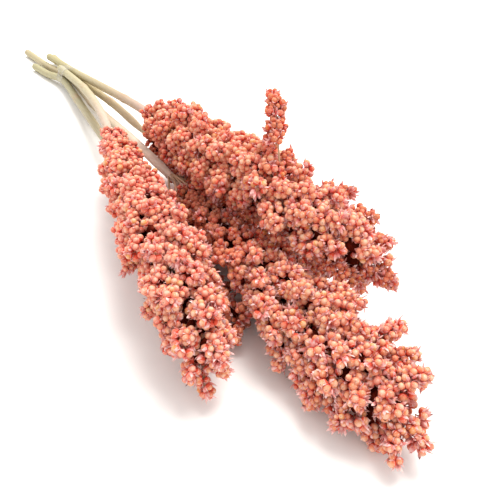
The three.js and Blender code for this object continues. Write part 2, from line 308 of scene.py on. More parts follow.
@dataclass(frozen=True)
class HeadPlan:
    """The layout of one seed head, from which its branches grow.

    Attributes:
        name: Its name in the bunch.
        seed: Start of its draws.
        count: The number of branches that are tried.
        axis: The points of its axis, from neck to tip.
        radii: Its radius at each point of the axis.
        strays: Branches that stand out of it, each as root, tip and radius.
        stalks: Bare stalks that stand out of it, each as root, tip and radius.
        grains: The number of grains in a cluster.
        spread: Radius of the ball that a cluster's grains sit on.
        gap: Distance between clusters on a branch.
        size: Usual radius of a grain.
        pink: How much pinker than the others it is dyed.
        pale: How much paler than the others it looks: its grains get less painted shade and more painted
            highlight.
        dull: How much duller the grains on its strays are.
        painted_shade_to: Where along the bunch its grains stop getting painted shade, the shade that falls
            between the heads.
        mould: The shape of its grains.
    """

    name: str
    seed: int
    count: int
    axis: tuple[Triple, ...]
    radii: tuple[float, ...]
    strays: tuple[Sprout, ...] = ()
    stalks: tuple[Sprout, ...] = ()
    grains: int = 9
    spread: float = 2.9
    gap: float = 8.2
    size: float = 2.05
    pink: float = 0.0
    pale: float = 0.0
    dull: float = 0.0
    painted_shade_to: float = -100.0
    mould: Shape = Shape.GRAIN

    LEAN = (64.0, 42.0, 42.0, 24.0)  # degrees between a branch and the axis, from neck to tip
    CORE_SHARE = 0.66  # core radius as a share of the head's radius
    STEPS = 240  # in which the axis is measured to space the branches
    BRANCH_RADIUS = 7.6
    BRANCH_LENGTH = 27.0
    STOUTEST = 0.75  # largest radius of a branch, as a share of the head's radius there
    DEEPEST = 1.5  # longest branch, as a share of the head's radius there
    TIP_DEPTH = 0.25  # how far a branch's tip lies under the head's outline, in its own radii
    SHORTENED = (1.0, 0.82, 0.66)  # lengths tried for a branch that would touch a neighbour

    @property
    def path(self) -> Path:
        """Give its axis."""
        return Path(self.axis)

    def core_rods(self) -> list[Rod]:
        """Give the space of its core as straight rods."""
        return rods_along(self.path, lambda share: value_at(self.radii, share) * self.CORE_SHARE)

    def branch_shares(self) -> list[float]:
        """Give the shares of the axis that carry branches, closer together where the head is fat."""
        line = self.path.sampled(self.STEPS + 1)
        runs = np.linalg.norm(np.diff(line, axis=0), axis=1)
        widths = [value_at(self.radii, (i + 0.5) / self.STEPS) for i in range(self.STEPS)]
        sums = np.concatenate([[0], np.cumsum(runs * widths)])
        wanted = (np.arange(self.count) + 0.5) / self.count * sums[-1]
        return list(np.interp(wanted, sums, np.arange(self.STEPS + 1) / self.STEPS))

    def branches(self, others: Sequence[Rod]) -> list[Branch]:
        """Grow the branches, each shortened or left out where it would touch a neighbour.

        Args:
            others: The space that is taken already.

        Returns:
            The branches, with the strays at the end.
        """
        draws, grown = Draws(self.seed), []
        for k, share in enumerate(self.branch_shares()):
            along, side, over = self.path.cross(share)
            angle = k * GOLDEN_ANGLE + draws.drift(0.25)
            outward = side * math.cos(angle) + over * math.sin(angle)
            reach = value_at(self.radii, share) * (1 + draws.drift(0.08))
            radius = min(self.BRANCH_RADIUS * (1 + draws.drift(0.16)), reach * self.STOUTEST)
            length = min(self.BRANCH_LENGTH * (1 + draws.drift(0.15)), reach * self.DEEPEST)
            lean = math.radians(value_at(self.LEAN, share))
            course = along * math.cos(lean) + outward * math.sin(lean)
            surface = self.path.at(share) + outward * (reach - radius * self.TIP_DEPTH)
            root = surface - course * length
            for part in self.SHORTENED:
                branch = Branch(root, root + (surface - root) * part, radius * math.sqrt(part))
                if clear_of(others, branch.rod(), GAP):
                    grown.append(branch)
                    break
        for root, tip, radius in self.strays:
            grown.append(Branch(np.array(root, float), np.array(tip, float), radius, True))
        return grown


HEADS = (
    HeadPlan(
        "lower", 31, 98,
        ((87, 14, 28), (144, 11, 26), (192, 10, 23), (225, 11, 21.5), (265, 10, 19.5), (298, 11, 12)),
        (9, 16, 22, 24, 22, 12),
        (
            ((260, 14, 28), (263, 42, 34), 6),
            ((281, 11, 26), (290, 29, 33), 7),
            ((226, 4, 26), (239, -14, 9), 6.5),
            ((254, 6, 21), (262, -13, 9), 7),
            ((273, 6, 21), (279, -11, 9), 7),
            ((291, 12, 19), (302, 0, 8), 6),
            ((290, 14, 17), (309, 14, 12), 6.5),
            ((215, 27, 29), (246, 30, 38), 6.5),
            ((268, 17, 22), (277, 36, 32), 6.5),
        ),
        (
            ((64, 14, 30), (93, 5, 33), 1.6),
            ((64, 15, 30), (95, 12, 37), 1.6),
            ((66, 16, 30), (93, 21, 33), 1.5),
            ((64, 12, 29), (90, 1, 28), 1.4),
            ((66, 14, 31), (97, 8, 38), 1.2),
        ),
        grains=9, spread=2.8, gap=7.7, pink=0.05, size=1.95, painted_shade_to=190.0,
    ),
    HeadPlan(
        "upper", 23, 106,
        ((-2, 30, 47), (58, 32, 53), (138, 34, 54), (182, 37, 51), (212, 49, 43), (232, 57, 33)),
        (12, 24, 26, 25, 20, 10),
        (
            ((168, 30, 62), (145, 42, 89), 5.5),
            ((163, 36, 86), (139, 50, 107), 6),
            ((169, 32, 70), (153, 53, 75), 4.5),
            ((171, 56, 55), (191, 71, 60), 6.5),
            ((191, 58, 49), (208, 74, 52), 6.5),
            ((202, 55, 44), (223, 72, 44), 6.5),
            ((208, 48, 39), (237, 63, 28), 7),
            ((209, 34, 40), (231, 46, 29), 6.5),
        ),
        (((170, 34, 62), (157, 40, 92), 1.15),),
        grains=12, spread=3.4, gap=9.2, pale=0.1, dull=1.0, size=2.0,
    ),
    HeadPlan(
        "left", 17, 94,
        ((3, -6, 41), (84, -22, 42), (153, -32, 40), (190, -37, 35), (216, -42, 27), (231, -47, 16)),
        (11, 18, 22, 20, 17, 8),
        (
            ((146, -32, 41), (149, -55, 26), 6),
            ((191, -40, 34), (204, -57, 17), 6),
            ((207, -41, 29), (234, -37, 16), 6.5),
            ((217, -43, 24), (233, -49, 8), 5.5),
            ((182, -41, 37), (182, -57, 22), 6),
            ((68, -14, 43), (75, -39, 37), 6),
        ),
        grains=11, spread=3.2, gap=8.9, pink=0.28, pale=0.25, size=1.97,
    ),
    HeadPlan(
        "under_left", 7, 60,
        ((-24, -1, 17), (59, -3, 13), (136, -5, 13), (185, -10, 12), (213, -14, 8)),
        (8, 13, 15, 14, 7),
        mould=Shape.PLAIN_GRAIN, painted_shade_to=235.0,
    ),
    HeadPlan(
        "under_right", 5, 58,
        ((-11, 28, 28), (57, 34, 14), (123, 38, 11), (172, 44, 11), (208, 46, 9)),
        (9, 13, 13, 12, 7),
        mould=Shape.PLAIN_GRAIN, painted_shade_to=170.0,
    ),
)

# Deep gaps between the clusters, each as a point in the layout and a radius.
HOLLOWS = (
    ((84.8, 14.2, 63.9), 5.5),
    ((157.2, -37.3, 57.2), 6.5),
    ((147.2, 8.6, 41.0), 8.0),
    ((155.7, 14.1, 58.3), 6.0),
    ((128.8, 11.7, 37.3), 6.5),
    ((175.0, 13.3, 39.3), 7.0),
    ((176.9, 15.4, 37.0), 6.0),
    ((187.3, 1.1, 38.3), 6.5),
    ((166.2, 3.5, 37.7), 6.5),
    ((191.4, -7.7, 31.4), 6.5),
    ((245.4, -3.1, 35.2), 5.0),
    ((275.1, 4.9, 29.8), 2.8),
    ((265.0, -1.4, 30.1), 2.8),
    ((277.3, 18.6, 31.7), 4.5),
    ((299.2, 4.0, 17.1), 2.4),
    ((215.9, -27.2, 35.9), 6.0),
)

LEAFY_FROM, LEAFY_OVER = 110.0, 120.0  # where the husks begin to grow, and how far they go on growing


def in_hollow(points: np.ndarray) -> np.ndarray:
    """Say which points lie in one of the deep gaps."""
    return np.any([np.linalg.norm(points - np.array(at), axis=-1) < size for at, size in HOLLOWS], axis=0)


STEMS = (
    StemPlan(
        "lower",
        ((-423, 16, 4.7), (-342, 22, 6), (-256, 30, 10), (-116, 19, 19), (-20, 16, 26), (78, 14, 28.5)),
    ),
    StemPlan(
        "upper",
        ((-345, 29, 15), (-254, 35, 18.4), (-190, 32, 28), (-109, 31, 38), (-44, 31, 45), (-10, 30, 48)),
    ),
    StemPlan("left", ((-272, 24, 19), (-240, 24.5, 20), (-154, 18, 30), (-72, 7, 38), (-6, -5, 41))),
    StemPlan(
        "under_left",
        ((-348, 9, 4.7), (-305, 14, 6), (-256, 20.8, 10), (-175, 14, 12.5), (-101, 6, 17), (-32, 0, 18)),
    ),
    StemPlan(
        "under_right",
        ((-366, 38, 8), (-310, 38, 9), (-254, 39, 10), (-173, 36, 17), (-105, 33, 24), (-19, 28, 29)),
    ),
)


def forward(operation: str) -> Callable[["Signal", "Signal | float"], "Signal"]:
    """Make an operator that works on a signal and what stands after it."""
    return lambda signal, other: signal.recipe.math(operation, signal, other)


def reflected(operation: str) -> Callable[["Signal", float], "Signal"]:
    """Make an operator that works on a number and the signal after it."""
    return lambda signal, number: signal.recipe.math(operation, number, signal)


class Signal:
    """A number that varies over a surface, on which Python's operators work."""

    def __init__(self, recipe: "Recipe", socket: bpy.types.NodeSocket) -> None:
        """Wrap an output socket of a recipe."""
        self.recipe = recipe
        self.socket = socket

    __add__, __radd__ = forward("ADD"), reflected("ADD")
    __sub__, __rsub__ = forward("SUBTRACT"), reflected("SUBTRACT")
    __mul__, __rmul__ = forward("MULTIPLY"), reflected("MULTIPLY")

    def between(self, low: float, high: float) -> "Signal":
        """Rise smoothly from 0 at one value to 1 at another."""
        node = self.recipe.node(
            "ShaderNodeMapRange",
            {"interpolation_type": "SMOOTHSTEP", "clamp": True},
            Value=self, **{"From Min": low, "From Max": high},
        )
        return Signal(self.recipe, node.outputs["Result"])


class Recipe:
    """A material under construction."""

    def __init__(self, name: str) -> None:
        """Start an empty material."""
        self.material = bpy.data.materials.new(name)
        self.material.use_nodes = True
        self.tree = self.material.node_tree
        self.tree.nodes.clear()

    def node(self, kind: str, settings: dict | None = None, **inputs: object) -> bpy.types.Node:
        """Add a node.

        Args:
            kind: The node's type.
            settings: What is set on the node itself, before its sockets.
            **inputs: The value or the link of each named socket.

        Returns:
            The node.
        """
        node = self.tree.nodes.new(kind)
        for key, value in (settings or {}).items():
            setattr(node, key, value)
        for key, value in inputs.items():
            self.feed(node.inputs[key], value)
        return node

    def feed(self, socket: bpy.types.NodeSocket, value: object) -> None:
        """Set a socket to a value, or link it to what varies."""
        if isinstance(value, Signal):
            self.tree.links.new(value.socket, socket)
        elif isinstance(value, bpy.types.NodeSocket):
            self.tree.links.new(value, socket)
        elif isinstance(value, tuple) and len(value) == 3 and socket.type == "RGBA":
            socket.default_value = (*value, 1.0)
        else:
            socket.default_value = value

    def math(self, operation: str, first: object, second: object = 0.0) -> Signal:
        """Work out an operation on two numbers, of which one or both vary."""
        node = self.node("ShaderNodeMath", {"operation": operation})
        self.feed(node.inputs[0], first)
        self.feed(node.inputs[1], second)
        return Signal(self, node.outputs[0])

    def mix(self, factor: object, first: object, second: object) -> bpy.types.NodeSocket:
        """Mix two colours.

        Args:
            factor: The share of the second one.
            first: The first colour.
            second: The second colour.

        Returns:
            The mixed colour.
        """
        node = self.node("ShaderNodeMix", {"data_type": "RGBA"})
        self.feed(node.inputs[0], factor)
        self.feed(node.inputs[6], first)
        self.feed(node.inputs[7], second)
        return node.outputs[2]

    def place(self, stretch: Triple = (1.0, 1.0, 1.0)) -> bpy.types.NodeSocket:
        """Give the place on the piece, stretched along its axes."""
        where = self.node("ShaderNodeTexCoord").outputs["Object"]
        return self.node("ShaderNodeMapping", Vector=where, Scale=stretch).outputs[0]

    def noise(self, scale: float, detail: float = 2.0, stretch: Triple = (1.0, 1.0, 1.0)) -> Signal:
        """Give a soft cloudy pattern.

        Args:
            scale: Its repeats in a metre.
            detail: How many finer layers it has.
            stretch: What its coordinates are multiplied by.

        Returns:
            A number around 0.5.
        """
        where = self.place(stretch)
        node = self.node("ShaderNodeTexNoise", None, Vector=where, Scale=scale, Detail=detail)
        return Signal(self, node.outputs[0])

    def parts(self, source: bpy.types.NodeSocket) -> tuple[Signal, Signal, Signal]:
        """Split a vector into its three numbers."""
        first, second, third = self.node("ShaderNodeSeparateXYZ", Vector=source).outputs
        return Signal(self, first), Signal(self, second), Signal(self, third)

    def attribute(self, name: str) -> tuple[Signal, Signal, Signal]:
        """Read the three numbers of a piece's own attribute."""
        return self.parts(self.node("ShaderNodeAttribute", {"attribute_name": name}).outputs["Vector"])

    def map_place(self) -> tuple[Signal, Signal]:
        """Read the place on a copy's own map: the share of the way round it, and of its height."""
        return self.parts(self.node("ShaderNodeUVMap", {"uv_map": GRAIN_MAP}).outputs["UV"])[:2]

    def bump(self, height: Signal, strength: float, depth: float) -> bpy.types.NodeSocket:
        """Turn a height into a relief, with its depth in metres."""
        node = self.node("ShaderNodeBump", None, Height=height, Strength=strength, Distance=depth)
        return node.outputs["Normal"]

    def done(self, **inputs: object) -> bpy.types.Material:
        """Close the material with a shader that takes these inputs."""
        shader = self.node("ShaderNodeBsdfPrincipled", None, **inputs)
        self.node("ShaderNodeOutputMaterial", None, Surface=shader.outputs[0])
        return self.material


@dataclass(frozen=True)
class GrainFinish:
    """Smooth, satin, pink-dyed grain that sits in a lobed cup of short husks, with painted shade, a painted
    highlight on top and painted glints.
    """

    peach: Colour = (0.76, 0.345, 0.18)
    salmon: Colour = (0.76, 0.25, 0.175)
    ochre: Colour = (0.70, 0.33, 0.11)
    deep_shade_and_blotch: Colour = (0.64, 0.035, 0.010)
    shade: Colour = (0.60, 0.065, 0.020)
    painted_highlight: Colour = (0.78, 0.54, 0.40)
    cup: Colour = (0.70, 0.095, 0.055)
    rim: Colour = (0.84, 0.46, 0.37)
    speck: Colour = (0.13, 0.035, 0.02)
    dull_and_shade: Colour = (0.42, 0.15, 0.085)
    painted_glint: Colour = (0.88, 0.74, 0.66)
    lobes: float = 9.425  # radians of the lobes' wave round the cup, three of its halves

    def make(self) -> bpy.types.Material:
        """Make the material."""
        r = Recipe("grain")
        hue, light, mark = r.attribute(TONE)
        around, height = r.map_place()
        colour = r.mix(hue.between(0.15, 0.9), self.peach, self.salmon)
        colour = r.mix(hue.between(0.945, 0.955), colour, self.ochre)
        cloud = r.noise(700.0, 3.0).between(0.35, 0.75)
        # painted shade: the lower part of each grain deep red, where it sits in shade among the others
        colour = r.mix((1.0 - height.between(0.25, 0.66)) * 0.85, colour, self.deep_shade_and_blotch)
        # random blotches in the same deep red
        colour = r.mix(cloud * 0.34, colour, self.deep_shade_and_blotch)
        lit = light.between(-0.2, 1.0)
        # painted shade: random in amount on each grain, and full on grains between the heads
        colour = r.mix((1.0 - lit) * 0.38, colour, self.shade)
        # painted highlight: the upper part of each grain lighter, more so on lighter grains
        colour = r.mix(height.between(0.55, 0.95) * lit * 0.7, colour, self.painted_highlight)
        lobes = r.math("ABSOLUTE", r.math("SINE", around * self.lobes + mark * 6.0))
        over = height - lobes * 0.17 - mark * 0.07
        colour = r.mix((1.0 - over.between(0.28, 0.31)) * 0.75, colour, self.cup)
        rim = over.between(0.23, 0.27) - over.between(0.29, 0.34)
        colour = r.mix(rim * lit * 0.8, colour, self.rim)
        # where lightness is below 0: the dull strays' own duller colour, and painted shade on grains between
        # the heads
        colour = r.mix((1.0 - light.between(-0.9, -0.05)) * 0.7, colour, self.dull_and_shade)
        speck = height.between(0.9, 0.985) * mark.between(0.7, 0.8)
        colour = r.mix(speck * 0.8, colour, self.speck)
        # painted glints: small pale specks that stand for tiny highlights
        glints = r.noise(1700.0, 1.0).between(0.6, 0.66)
        colour = r.mix(glints * height.between(0.3, 0.6) * 0.4, colour, self.painted_glint)
        fine = r.noise(2600.0, 2.0)
        return r.done(**{
            "Base Color": colour,
            "Roughness": 0.5 + 0.2 * cloud,
            "Coat Weight": height.between(0.6, 0.9) * 0.1,
            "Coat Roughness": 0.3,
            "Normal": r.bump(fine - over.between(0.26, 0.31) * 1.5, 0.3, 0.0002),
            "Specular IOR Level": 0.04,
        })


@dataclass(frozen=True)
class HuskFinish:
    """Papery, pointed, pink husk with veins, pale or dark tips and painted glints."""

    deep: Colour = (0.66, 0.028, 0.024)
    pink: Colour = (0.76, 0.215, 0.185)
    pale: Colour = (0.86, 0.61, 0.57)
    dark: Colour = (0.13, 0.025, 0.018)
    painted_glint: Colour = (0.92, 0.80, 0.76)
    veins: float = 150.8  # radians of the veins' wave round the husk, 24 of them

    def make(self) -> bpy.types.Material:
        """Make the material."""
        r = Recipe("husk")
        hue, light, mark = r.attribute(TONE)
        around, height = r.map_place()
        colour = r.mix(hue.between(0.0, 0.7), self.deep, self.pink)
        streak = r.noise(2200.0, 3.0)
        colour = r.mix(streak.between(0.45, 0.75) * 0.5, colour, self.pale)
        veins = r.math("SINE", around * self.veins)
        edge = height.between(0.3, 0.85)
        colour = r.mix(edge * (0.3 + 0.62 * light), colour, self.pale)
        # painted glints: small pale specks that stand for tiny highlights
        glints = r.noise(1500.0, 1.0).between(0.58, 0.64)
        colour = r.mix(glints * height.between(0.35, 0.6) * 0.5, colour, self.painted_glint)
        tip = height.between(0.6, 0.8) * mark.between(0.94, 0.96)
        colour = r.mix(tip * 0.9, colour, self.dark)
        return r.done(**{
            "Base Color": colour,
            "Roughness": 0.5 + 0.25 * streak,
            "Normal": r.bump(veins + streak, 0.3, 0.00015),
            "Specular IOR Level": 0.05,
        })


@dataclass(frozen=True)
class ShadedHeartFinish:
    """The head's inner branches deep inside it, painted near-black as the shade that fills the head."""

    # painted shade: near-black and dark warm red, for the shade deep in the head
    dark: Colour = (0.07, 0.007, 0.003)
    warm: Colour = (0.24, 0.028, 0.011)

    def make(self) -> bpy.types.Material:
        """Make the material."""
        r = Recipe("shaded_heart")
        cloud = r.noise(320.0, 4.0)
        fine = r.noise(1500.0, 3.0)
        warmth = cloud.between(0.4, 0.7) * 0.6 + fine.between(0.5, 0.8) * 0.3
        colour = r.mix(warmth, self.dark, self.warm)
        return r.done(**{
            "Base Color": colour,
            "Roughness": 0.75 + 0.2 * fine,
            "Normal": r.bump(cloud + fine, 0.8, 0.0008),
            "Specular IOR Level": 0.05,
        })


@dataclass(frozen=True)
class StalkFinish:
    """Thin, tan to pink stalks that carry the grains."""

    tan: Colour = (0.52, 0.33, 0.20)
    pink: Colour = (0.62, 0.20, 0.15)
    shade: Colour = (0.2, 0.07, 0.04)

    def make(self) -> bpy.types.Material:
        """Make the material."""
        r = Recipe("stalk")
        hue, light, _ = r.attribute(TONE)
        cloud = r.noise(500.0, 3.0)
        colour = r.mix(hue.between(0.2, 0.9), self.tan, self.pink)
        colour = r.mix((1.0 - light) * 0.5 + cloud * 0.2, colour, self.shade)
        return r.done(**{
            "Base Color": colour,
            "Roughness": 0.5 + 0.3 * cloud,
            "Normal": r.bump(cloud, 0.4, 0.0002),
        })


@dataclass(frozen=True)
class StemFinish:
    """Dried stalk: long fibres, a colour that turns pink near the head, and a blotched joint.

    Attributes:
        name: The material's name.
        cut: Colour at the cut end.
        middle: Colour half-way.
        neck: Colour at the head.
    """

    name: str
    cut: Colour
    middle: Colour
    neck: Colour
    dark_fibre: Colour = (0.40, 0.30, 0.16)
    blotch: Colour = (0.46, 0.24, 0.16)
    groove: Colour = (0.55, 0.49, 0.35)
    pore: Colour = (0.62, 0.5, 0.31)
    pith: Colour = (0.83, 0.74, 0.55)

    def make(self) -> bpy.types.Material:
        """Make the material."""
        r = Recipe(self.name)
        run, joint, pith = r.attribute(STEM_PLACE)
        colour = r.mix(run.between(0.0, 0.55), self.cut, self.middle)
        colour = r.mix(run.between(0.45, 1.0), colour, self.neck)
        fibre = r.noise(900.0, 3.0, (0.035, 1.0, 1.0))
        colour = r.mix(fibre.between(0.42, 0.68) * 0.35, colour, self.dark_fibre)
        colour = r.mix((1.0 - fibre.between(0.25, 0.5)) * 0.3, colour, self.groove)
        stain = r.noise(60.0, 4.0, (0.5, 1.0, 1.0))
        colour = r.mix(stain.between(0.56, 0.72) * 0.3, colour, self.dark_fibre)
        blotches = r.noise(330.0, 3.0).between(0.42, 0.6)
        colour = r.mix(joint * blotches * 0.5, colour, self.blotch)
        pores = r.noise(1600.0, 2.0)
        flesh = r.mix(pores.between(0.35, 0.65), self.pore, self.pith)
        colour = r.mix(pith, colour, flesh)
        return r.done(**{
            "Base Color": colour,
            "Roughness": 0.42 + 0.25 * fibre + 0.2 * pith,
            "Normal": r.bump(fibre + 0.4 * pores, 0.5, 0.0005),
            "Specular IOR Level": 0.25,
        })


@dataclass(frozen=True)
class BandFinish:
    """Clear, glossy tape with a faint violet edge."""

    clear: Colour = (0.86, 0.86, 0.88)
    edge: Colour = (0.27, 0.22, 0.30)
    opacity: float = 0.04

    def make(self) -> bpy.types.Material:
        """Make the material."""
        r = Recipe("clear_tape")
        across, _, _ = r.attribute(BAND_PLACE)
        crease = r.noise(240.0, 3.0, (0.4, 1.0, 1.0))
        rim = across.between(0.80, 0.97)
        colour = r.mix(rim * 0.7, self.clear, self.edge)
        alpha = self.opacity + 0.08 * crease.between(0.5, 0.75) + 0.22 * rim
        return r.done(**{
            "Base Color": colour,
            "Roughness": 0.1 + 0.15 * crease,
            "Alpha": alpha,
            "Normal": r.bump(crease, 0.5, 0.0006),
        })


@dataclass(frozen=True)
class FloorFinish:
    """Plain pale paper."""

    white: Colour = (0.90, 0.885, 0.87)
    grey: Colour = (0.89, 0.875, 0.86)

    def make(self) -> bpy.types.Material:
        """Make the material."""
        r = Recipe("pale_floor")
        colour = r.mix(r.noise(3.0, 2.0) * 0.2, self.white, self.grey)
        return r.done(**{"Base Color": colour, "Roughness": 0.85, "Specular IOR Level": 0.2})


def write_attribute(mesh: bpy.types.Mesh, name: str, rows: np.ndarray) -> None:
    """Write three numbers for each vertex, which a finish reads."""
    attribute = mesh.attributes.new(name, "FLOAT_VECTOR", "POINT")
    attribute.data.foreach_set("vector", rows.astype(np.float32).ravel())


def vertices_of(piece: bpy.types.Object) -> np.ndarray:
    """Give a piece's vertices, in the layout."""
    return np.array([vertex.co for vertex in piece.data.vertices]) / MM + ORIGIN


class Bench:
    """The modelling bench: a primitive is set on it, shaped with operators and taken off."""

    @staticmethod
    def clear() -> None:
        """Leave edit mode and deselect everything."""
        if bpy.context.object is not None and bpy.context.object.mode != "OBJECT":
            bpy.ops.object.mode_set(mode="OBJECT")
        bpy.ops.object.select_all(action="DESELECT")

    @staticmethod
    def start(name: str, primitive: Callable[..., set], **sizes: object) -> bpy.types.Object:
        """Add a primitive and open it for editing.

        Args:
            name: The new piece's name.
            primitive: The operator that adds it.
            **sizes: The operator's settings.

        Returns:
            The piece, in edit mode.
        """
        Bench.clear()
        primitive(**sizes)
        piece = bpy.context.object
        piece.name = piece.data.name = name
        bpy.ops.object.mode_set(mode="EDIT")
        bpy.ops.mesh.select_mode(type="VERT")
        return piece

    @staticmethod
    def pick(piece: bpy.types.Object, where: Callable[[Vector], bool]) -> None:
        """Select the vertices whose place passes a test."""
        bpy.ops.mesh.select_all(action="DESELECT")
        body = bmesh.from_edit_mesh(piece.data)
        for vertex in body.verts:
            vertex.select_set(bool(where(vertex.co)))
        body.select_flush(True)
        bmesh.update_edit_mesh(piece.data)

    @staticmethod
    def move(piece: bpy.types.Object, where: Callable[[Vector], bool], by: Triple) -> None:
        """Move the vertices that pass a test."""
        Bench.pick(piece, where)
        bpy.ops.transform.translate(value=by)

    @staticmethod
    def widen(piece: bpy.types.Object, where: Callable[[Vector], bool], by: Triple) -> None:
        """Scale the vertices that pass a test about the origin."""
        Bench.pick(piece, where)
        bpy.ops.transform.resize(value=by, center_override=(0, 0, 0))

    @staticmethod
    def hold(piece: bpy.types.Object) -> None:
        """Select a piece alone and make it the active one."""
        Bench.clear()
        piece.select_set(True)
        bpy.context.view_layer.objects.active = piece

    @staticmethod
    def finish(piece: bpy.types.Object, sharp: float = 60.0) -> bpy.types.Object:
        """Close a piece, place it in its mesh and shade it smooth up to an angle in degrees."""
        Bench.hold(piece)
        bpy.ops.object.transform_apply(location=True, rotation=True, scale=True)
        bpy.ops.object.shade_smooth_by_angle(angle=math.radians(sharp))
        return piece

    @staticmethod
    def apply(piece: bpy.types.Object, kind: str, **settings: object) -> None:
        """Add a modifier with these settings and apply it."""
        Bench.hold(piece)
        modifier = piece.modifiers.new(kind.lower(), kind)
        for key, value in settings.items():
            setattr(modifier, key, value)
        bpy.ops.object.modifier_apply(modifier=modifier.name)


class Mould:
    """A small shape that is modelled once, of which a crowd of copies is made."""

    def __init__(self, piece: bpy.types.Object) -> None:
        """Read the shape from a finished piece, which is then removed."""
        mesh = piece.data
        self.vertices = self.read(mesh.vertices, "co", 3, np.float32).astype(float)
        self.edges = self.read(mesh.edges, "vertices", 2, np.int32)
        self.corner_vertex = self.read(mesh.loops, "vertex_index", 1, np.int32)[:, 0]
        self.corner_edge = self.read(mesh.loops, "edge_index", 1, np.int32)[:, 0]
        self.starts = self.read(mesh.polygons, "loop_start", 1, np.int32)[:, 0]
        self.map = self.read(mesh.uv_layers[0].data, "uv", 2, np.float32).astype(float)
        sharp = mesh.attributes.get("sharp_edge")
        self.sharp = np.zeros(len(mesh.edges), bool)
        if sharp is not None:
            sharp.data.foreach_get("value", self.sharp)
        bpy.data.objects.remove(piece)

    @staticmethod
    def read(source: bpy.types.bpy_prop_collection, key: str, wide: int, kind: type) -> np.ndarray:
        """Read one property of a collection as rows of an array."""
        values = np.zeros(len(source) * wide, kind)
        source.foreach_get(key, values)
        return values.reshape(-1, wide)


@dataclass
class Crowd:
    """Copies of a mould: their places, turns, sizes and tones.

    Attributes:
        mould: The shape that is copied.
        places: Middle of each copy, in the layout.
        turns: Rotation of each copy, with its own axes in the columns.
        sizes: Size of each copy along its own axes, in millimetres.
        tones: Three numbers for each copy, which its material reads.
    """

    mould: Mould
    places: np.ndarray
    turns: np.ndarray
    sizes: np.ndarray
    tones: np.ndarray

    MARGIN = 0.06  # of a copy's cell in the bake's map

    def build(self, name: str, material: bpy.types.Material) -> bpy.types.Object:
        """Join the copies into one piece.

        Args:
            name: The piece's name.
            material: Its finish.

        Returns:
            The piece.
        """
        mould, count = self.mould, len(self.places)
        local = mould.vertices[None] * self.sizes[:, None]
        spots = np.einsum("nij,nvj->nvi", self.turns, local) + self.places[:, None]
        spots = placed(spots.reshape(-1, 3))
        spots[:, 2] = np.maximum(spots[:, 2], 0.0)
        mesh = bpy.data.meshes.new(name)
        mesh.vertices.add(len(spots))
        mesh.vertices.foreach_set("co", spots.astype(np.float32).ravel())
        mesh.edges.add(count * len(mould.edges))
        mesh.edges.foreach_set("vertices", self.repeated(mould.edges, len(mould.vertices)).ravel())
        mesh.loops.add(count * len(mould.corner_vertex))
        corners = self.repeated(mould.corner_vertex, len(mould.vertices))
        mesh.loops.foreach_set("vertex_index", corners.ravel())
        mesh.loops.foreach_set("edge_index", self.repeated(mould.corner_edge, len(mould.edges)).ravel())
        mesh.polygons.add(count * len(mould.starts))
        starts = self.repeated(mould.starts, len(mould.corner_vertex))
        mesh.polygons.foreach_set("loop_start", starts.ravel())
        mesh.update()
        sharp = mesh.attributes.new("sharp_edge", "BOOLEAN", "EDGE")
        sharp.data.foreach_set("value", np.tile(mould.sharp, count))
        write_attribute(mesh, TONE, np.repeat(self.tones, len(mould.vertices), 0))
        for name_of_map, places in ((GRAIN_MAP, np.tile(mould.map, (count, 1))), ("OFBake", self.cells())):
            layer = mesh.uv_layers.new(name=name_of_map)
            layer.data.foreach_set("uv", places.astype(np.float32).ravel())
        mesh.validate()
        mesh.materials.append(material)
        piece = bpy.data.objects.new(name, mesh)
        bpy.context.scene.collection.objects.link(piece)
        return piece

    def repeated(self, indices: np.ndarray, step: int) -> np.ndarray:
        """Repeat a mould's indices for each copy, each time raised by a step."""
        shift = (np.arange(len(self.places)) * step).reshape(-1, *[1] * indices.ndim)
        return (indices[None] + shift).astype(np.int32)

    def cells(self) -> np.ndarray:
        """Lay each copy's map in a cell of its own."""
        side = math.ceil(math.sqrt(len(self.places)))
        k = np.arange(len(self.places))
        corner = np.stack([k % side, k // side], 1)[:, None]
        inside = self.MARGIN + (1 - 2 * self.MARGIN) * self.mould.map
        return ((corner + inside[None]) / side).reshape(-1, 2)


def turned(axes: np.ndarray, rolls: np.ndarray) -> np.ndarray:
    """Make rotations that bring the third axis to given directions.

    Args:
        axes: The directions.
        rolls: Each one's turn about its direction.

    Returns:
        The rotations, as matrices with the new axes in their columns.
    """
    helper = np.where(np.abs(axes[:, 2:3]) < 0.9, UP, AHEAD)
    first = unit(np.cross(helper, axes))
    second = np.cross(axes, first)
    c, s = np.cos(rolls)[:, None], np.sin(rolls)[:, None]
    return np.stack([first * c + second * s, second * c - first * s, axes], axis=2)


class Look(Enum):
    """The finishes that a head's pieces take."""

    GRAIN = "grain"
    HUSK = "husk"
    HEART = "shaded_heart"
    STALK = "stalk"


